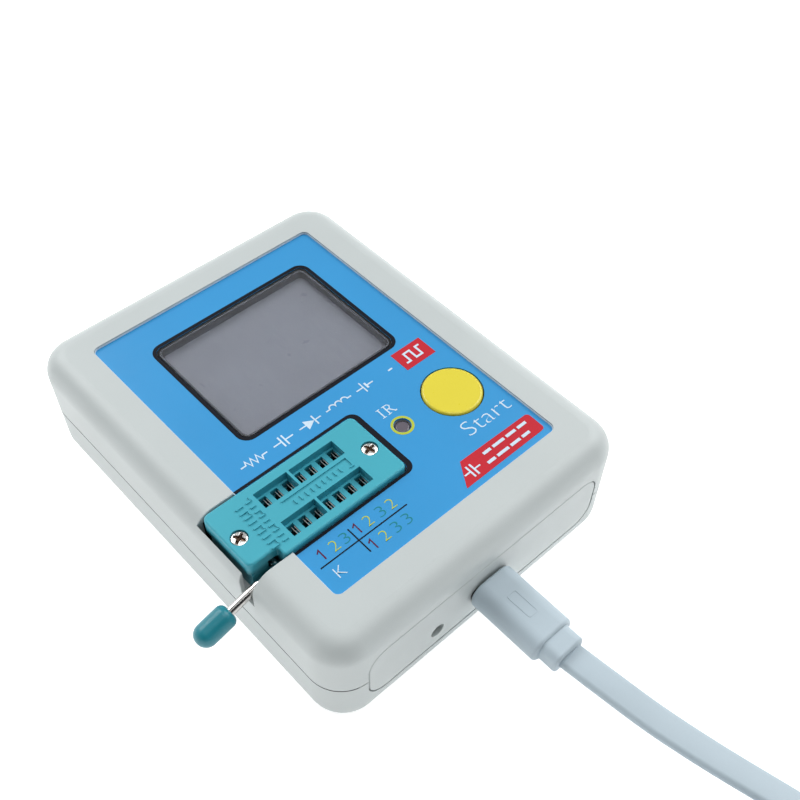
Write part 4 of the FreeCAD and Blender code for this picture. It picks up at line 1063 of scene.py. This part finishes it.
def coil_points():
    """The coil's turns, clockwise from above, as points of the cord's own line."""
    centre = middle_mm("cable_coil")
    points = []
    turned = COIL_START
    while turned <= 360 * COIL_TURNS + 0.1:
        radius = COIL_TRACK + COIL_PITCH * turned / 360
        angle = math.radians(-turned)
        from_tie = (turned + 90) % 360 - 180
        lift = TIE_LIFT * math.exp(-((from_tie / 30) ** 2))
        x = centre.x + radius * math.cos(angle)
        y = centre.y + radius * math.sin(angle)
        points.append((x, y, COIL_Z + lift))
        turned += COIL_STEP
    return points


def cable_line():
    """Points along the cord's smooth line, in metres."""
    route = CABLE_ROUTE + coil_points() + TAIL_ROUTE
    curve = bpy.data.curves.new("cable_line", "CURVE")
    curve.dimensions = "3D"
    curve.resolution_u = 8
    spline = curve.splines.new("NURBS")
    spline.points.add(len(route) - 1)
    for point, (x, y, z) in zip(spline.points, route):
        point.co = (x * MM, y * MM, z * MM, 1)
    spline.order_u = 3
    spline.use_endpoint_u = True
    holder = bpy.data.objects.new("cable_line", curve)
    SCENE.collection.objects.link(holder)
    bpy.context.view_layer.update()
    evaluated = holder.evaluated_get(bpy.context.evaluated_depsgraph_get())
    line_mesh = bpy.data.meshes.new_from_object(evaluated)
    points = [vertex.co.copy() for vertex in line_mesh.vertices]
    bpy.data.objects.remove(holder)
    bpy.data.meshes.remove(line_mesh)
    return points


def make_cable():
    """The flat cable: it leaves the plug flat, stands on edge in the coil and ends flat."""
    points = cable_line()
    along = [0.0]
    for before, after in zip(points, points[1:]):
        along.append(along[-1] + (after - before).length / MM)
    total = along[-1]
    half_width = CABLE_WIDTH / 2
    half_thickness = CABLE_THICKNESS / 2
    section = rounded_box(-half_width, half_width, -half_thickness, half_thickness, 0.85, 4)
    full_stand = math.pi / 2 - math.radians(LEAN_ANGLE)
    mesh = bmesh.new()
    rings = []
    for index, point in enumerate(points):
        ahead = points[min(index + 1, len(points) - 1)]
        behind = points[max(index - 1, 0)]
        forward = (ahead - behind).normalized()
        side = forward.cross(Vector((0, 0, 1))).normalized()
        over = side.cross(forward)
        lean = math.radians(LEAN_ANGLE) * eased(along[index], *LEAN)
        stand = full_stand * eased(along[index], *STAND)
        lie_from, lie_to = (total - before_end for before_end in LIE_BEFORE_END)
        lie = math.pi / 2 * eased(along[index], lie_from, lie_to)
        turn = lean + stand - lie
        width_way = side * math.cos(turn) + over * math.sin(turn)
        thick_way = over * math.cos(turn) - side * math.sin(turn)
        corners = [point / MM + width_way * u + thick_way * v for u, v in section]
        rings.append([mesh.verts.new(corner) for corner in corners])
    for ring, after in zip(rings, rings[1:]):
        for index in range(len(section)):
            beside = (index + 1) % len(section)
            mesh.faces.new((ring[index], ring[beside], after[beside], after[index]))
    mesh.faces.new(rings[0])
    mesh.faces.new(rings[-1])
    jacket = FINISHES["cable_jacket"]
    cable = finish_piece(mesh, "flat_cable", jacket, LEAD_BODY, smooth=True)
    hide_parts("cable", "cable_coil", "cable_tail")
    return cable, points


def make_tie():
    """The strap around the coil."""
    low, high = box_mm("coil_tie")
    front, back = low.y + 0.05, high.y - 0.05
    bottom, top = low.z + 0.03, high.z
    outer = rounded_box(front, back, bottom, top, 1.5)
    inner = rounded_box(front + TIE_WALL, back - TIE_WALL, bottom + TIE_WALL, top - TIE_WALL, 0.9)
    mesh = bmesh.new()
    add_wall(mesh, inner, outer, low.x + 1.2, high.x - 1.2, (2, 0, 1), closed=True)
    tie = finish_piece(mesh, "tie_strap", FINISHES["tie_plastic"], LEAD_BODY)
    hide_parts("coil_tie")
    return tie


def make_grip_mark(name, node, length, width):
    """A raised outline on top of a plug's moulding."""
    low, high = box_mm(node)
    x = (low.x + high.x) / 2
    y = (low.y + high.y) / 2
    outline = rounded_box(x - width / 2, x + width / 2, y - length / 2, y + length / 2, 0.35, 4)
    mesh = bmesh.new()
    add_stroke(mesh, outline, 0.22, high.z - 0.05, high.z + 0.07, closed=True)
    return finish_piece(mesh, name, FINISHES["cable_jacket"], LEAD_BODY)


def make_lead():
    """The whole cord, with its strap and both its plugs."""
    cable, points = make_cable()
    tie = make_tie()
    marks = [
        make_grip_mark("plug_mark", "plug_overmould", 5.4, 2.0),
        make_grip_mark("grip_mark", "usb_grip", 11.0, 5.0),
    ]


# ---------------------------------------------------------------- floor, light and camera

FLOOR_GLOW = 0.6
FLOOR_DROP = 0.05
FLOOR_HALF_SIDE = 3.0
# Lamps and camera stand at places in metres; each lamp's power is in watts.
LIGHT_SIZE = 0.6
LIGHTS = (
    ("top", (0.0, -0.2, 0.85), 2.4),
    ("right", (0.78, -0.05, 0.72), 5.7),
    ("back", (-0.15, 0.78, 0.72), 5.7),
)
WORLD_STRENGTH = 0.5
DIM_SIDE = (-0.5, -0.6, 0.66)
DIM_RAMP = ((0.5, (0.95, 0.95, 0.95, 1)), (0.87, (0.03, 0.035, 0.04, 1)))
HORIZON_RAMP = ((0.0, (1.4, 1.4, 1.4, 1)), (0.38, (0.0, 0.0, 0.0, 1)))
CAMERA_PLACE = (-0.075062, -0.100629, 0.170663)
CAMERA_AZIMUTH = -44.885
CAMERA_ELEVATION = 52.81
CAMERA_ROLL = 2.361
CAMERA_LENS = 46.07
CAMERA_SHIFT = (-0.01839, 0.07119)


def make_floor():
    """A pale table top, lit from below so that the object's sides stay bright."""
    mesh = bmesh.new()
    bmesh.ops.create_grid(mesh, x_segments=8, y_segments=8, size=FLOOR_HALF_SIDE)
    data = bpy.data.meshes.new("floor")
    mesh.to_mesh(data)
    mesh.free()
    paint = Paint("floor_paper", Roughness=0.9, Specular_IOR_Level=0.1)
    darkest = (0.955, 0.955, 0.955, 1)
    palest = (0.97, 0.97, 0.97, 1)
    paint.colour(paint.ramp(paint.noise(6, 3), (0.3, darkest), (0.7, palest)))
    paint.shader.inputs["Emission Strength"].default_value = FLOOR_GLOW
    data.materials.append(paint.material)
    floor = bpy.data.objects.new("floor", data)
    floor.location.z = -FLOOR_DROP * MM
    SCENE.collection.objects.link(floor)


def make_area_light(name, place, power):
    """A round lamp, aimed at the middle of the object's foot."""
    data = bpy.data.lights.new(name, "AREA")
    data.shape = "DISK"
    data.size = LIGHT_SIZE
    data.energy = power
    light = bpy.data.objects.new(name, data)
    light.location = place
    light.rotation_euler = (-Vector(place)).to_track_quat("-Z", "Y").to_euler()
    SCENE.collection.objects.link(light)


def add_ramp(tree, value, stops):
    """A two-stop colour ramp, driven by a value; gives its colour."""
    ramp = tree.nodes.new("ShaderNodeValToRGB")
    tree.links.new(value, ramp.inputs["Fac"])
    for element, (position, colour) in zip(ramp.color_ramp.elements, stops):
        element.position = position
        element.color = colour
    return ramp.outputs["Color"]


def make_world():
    """A pale room: dimmer high up on one side, and with a bright band round the horizon."""
    world = bpy.data.worlds.new("studio")
    SCENE.world = world
    world.use_nodes = True
    tree = world.node_tree
    background = tree.nodes["Background"]
    place = tree.nodes.new("ShaderNodeTexCoord")
    towards = tree.nodes.new("ShaderNodeVectorMath")
    towards.operation = "DOT_PRODUCT"
    towards.inputs[1].default_value = Vector(DIM_SIDE).normalized()
    tree.links.new(place.outputs["Generated"], towards.inputs[0])
    height = tree.nodes.new("ShaderNodeSeparateXYZ")
    tree.links.new(place.outputs["Generated"], height.inputs["Vector"])
    both = tree.nodes.new("ShaderNodeVectorMath")
    both.operation = "ADD"
    tree.links.new(add_ramp(tree, towards.outputs["Value"], DIM_RAMP), both.inputs[0])
    tree.links.new(add_ramp(tree, height.outputs["Z"], HORIZON_RAMP), both.inputs[1])
    tree.links.new(both.outputs["Vector"], background.inputs["Color"])
    background.inputs["Strength"].default_value = WORLD_STRENGTH


def make_lights():
    make_world()
    for name, place, power in LIGHTS:
        make_area_light(name, place, power)
    SCENE.view_settings.view_transform = "Standard"


def make_camera():
    data = bpy.data.cameras.new("camera")
    data.sensor_width = 36.0
    data.lens = CAMERA_LENS
    data.shift_x, data.shift_y = CAMERA_SHIFT
    data.clip_start = 0.005
    data.clip_end = 20.0
    camera = bpy.data.objects.new("camera", data)
    turn = Matrix.Rotation(math.radians(CAMERA_AZIMUTH), 4, "Z")
    tilt = Matrix.Rotation(math.radians(90 - CAMERA_ELEVATION), 4, "X")
    roll = Matrix.Rotation(math.radians(CAMERA_ROLL), 4, "Z")
    camera.matrix_world = Matrix.Translation(CAMERA_PLACE) @ turn @ tilt @ roll
    SCENE.collection.objects.link(camera)
    SCENE.camera = camera


# ---------------------------------------------------------------- build

paint_nodes()
make_printing()
make_window_shade_frame()
make_contact_grid()
make_contacts()
make_socket_screws()
make_cover_marks()
make_lead()
make_floor()
make_lights()
make_camera()
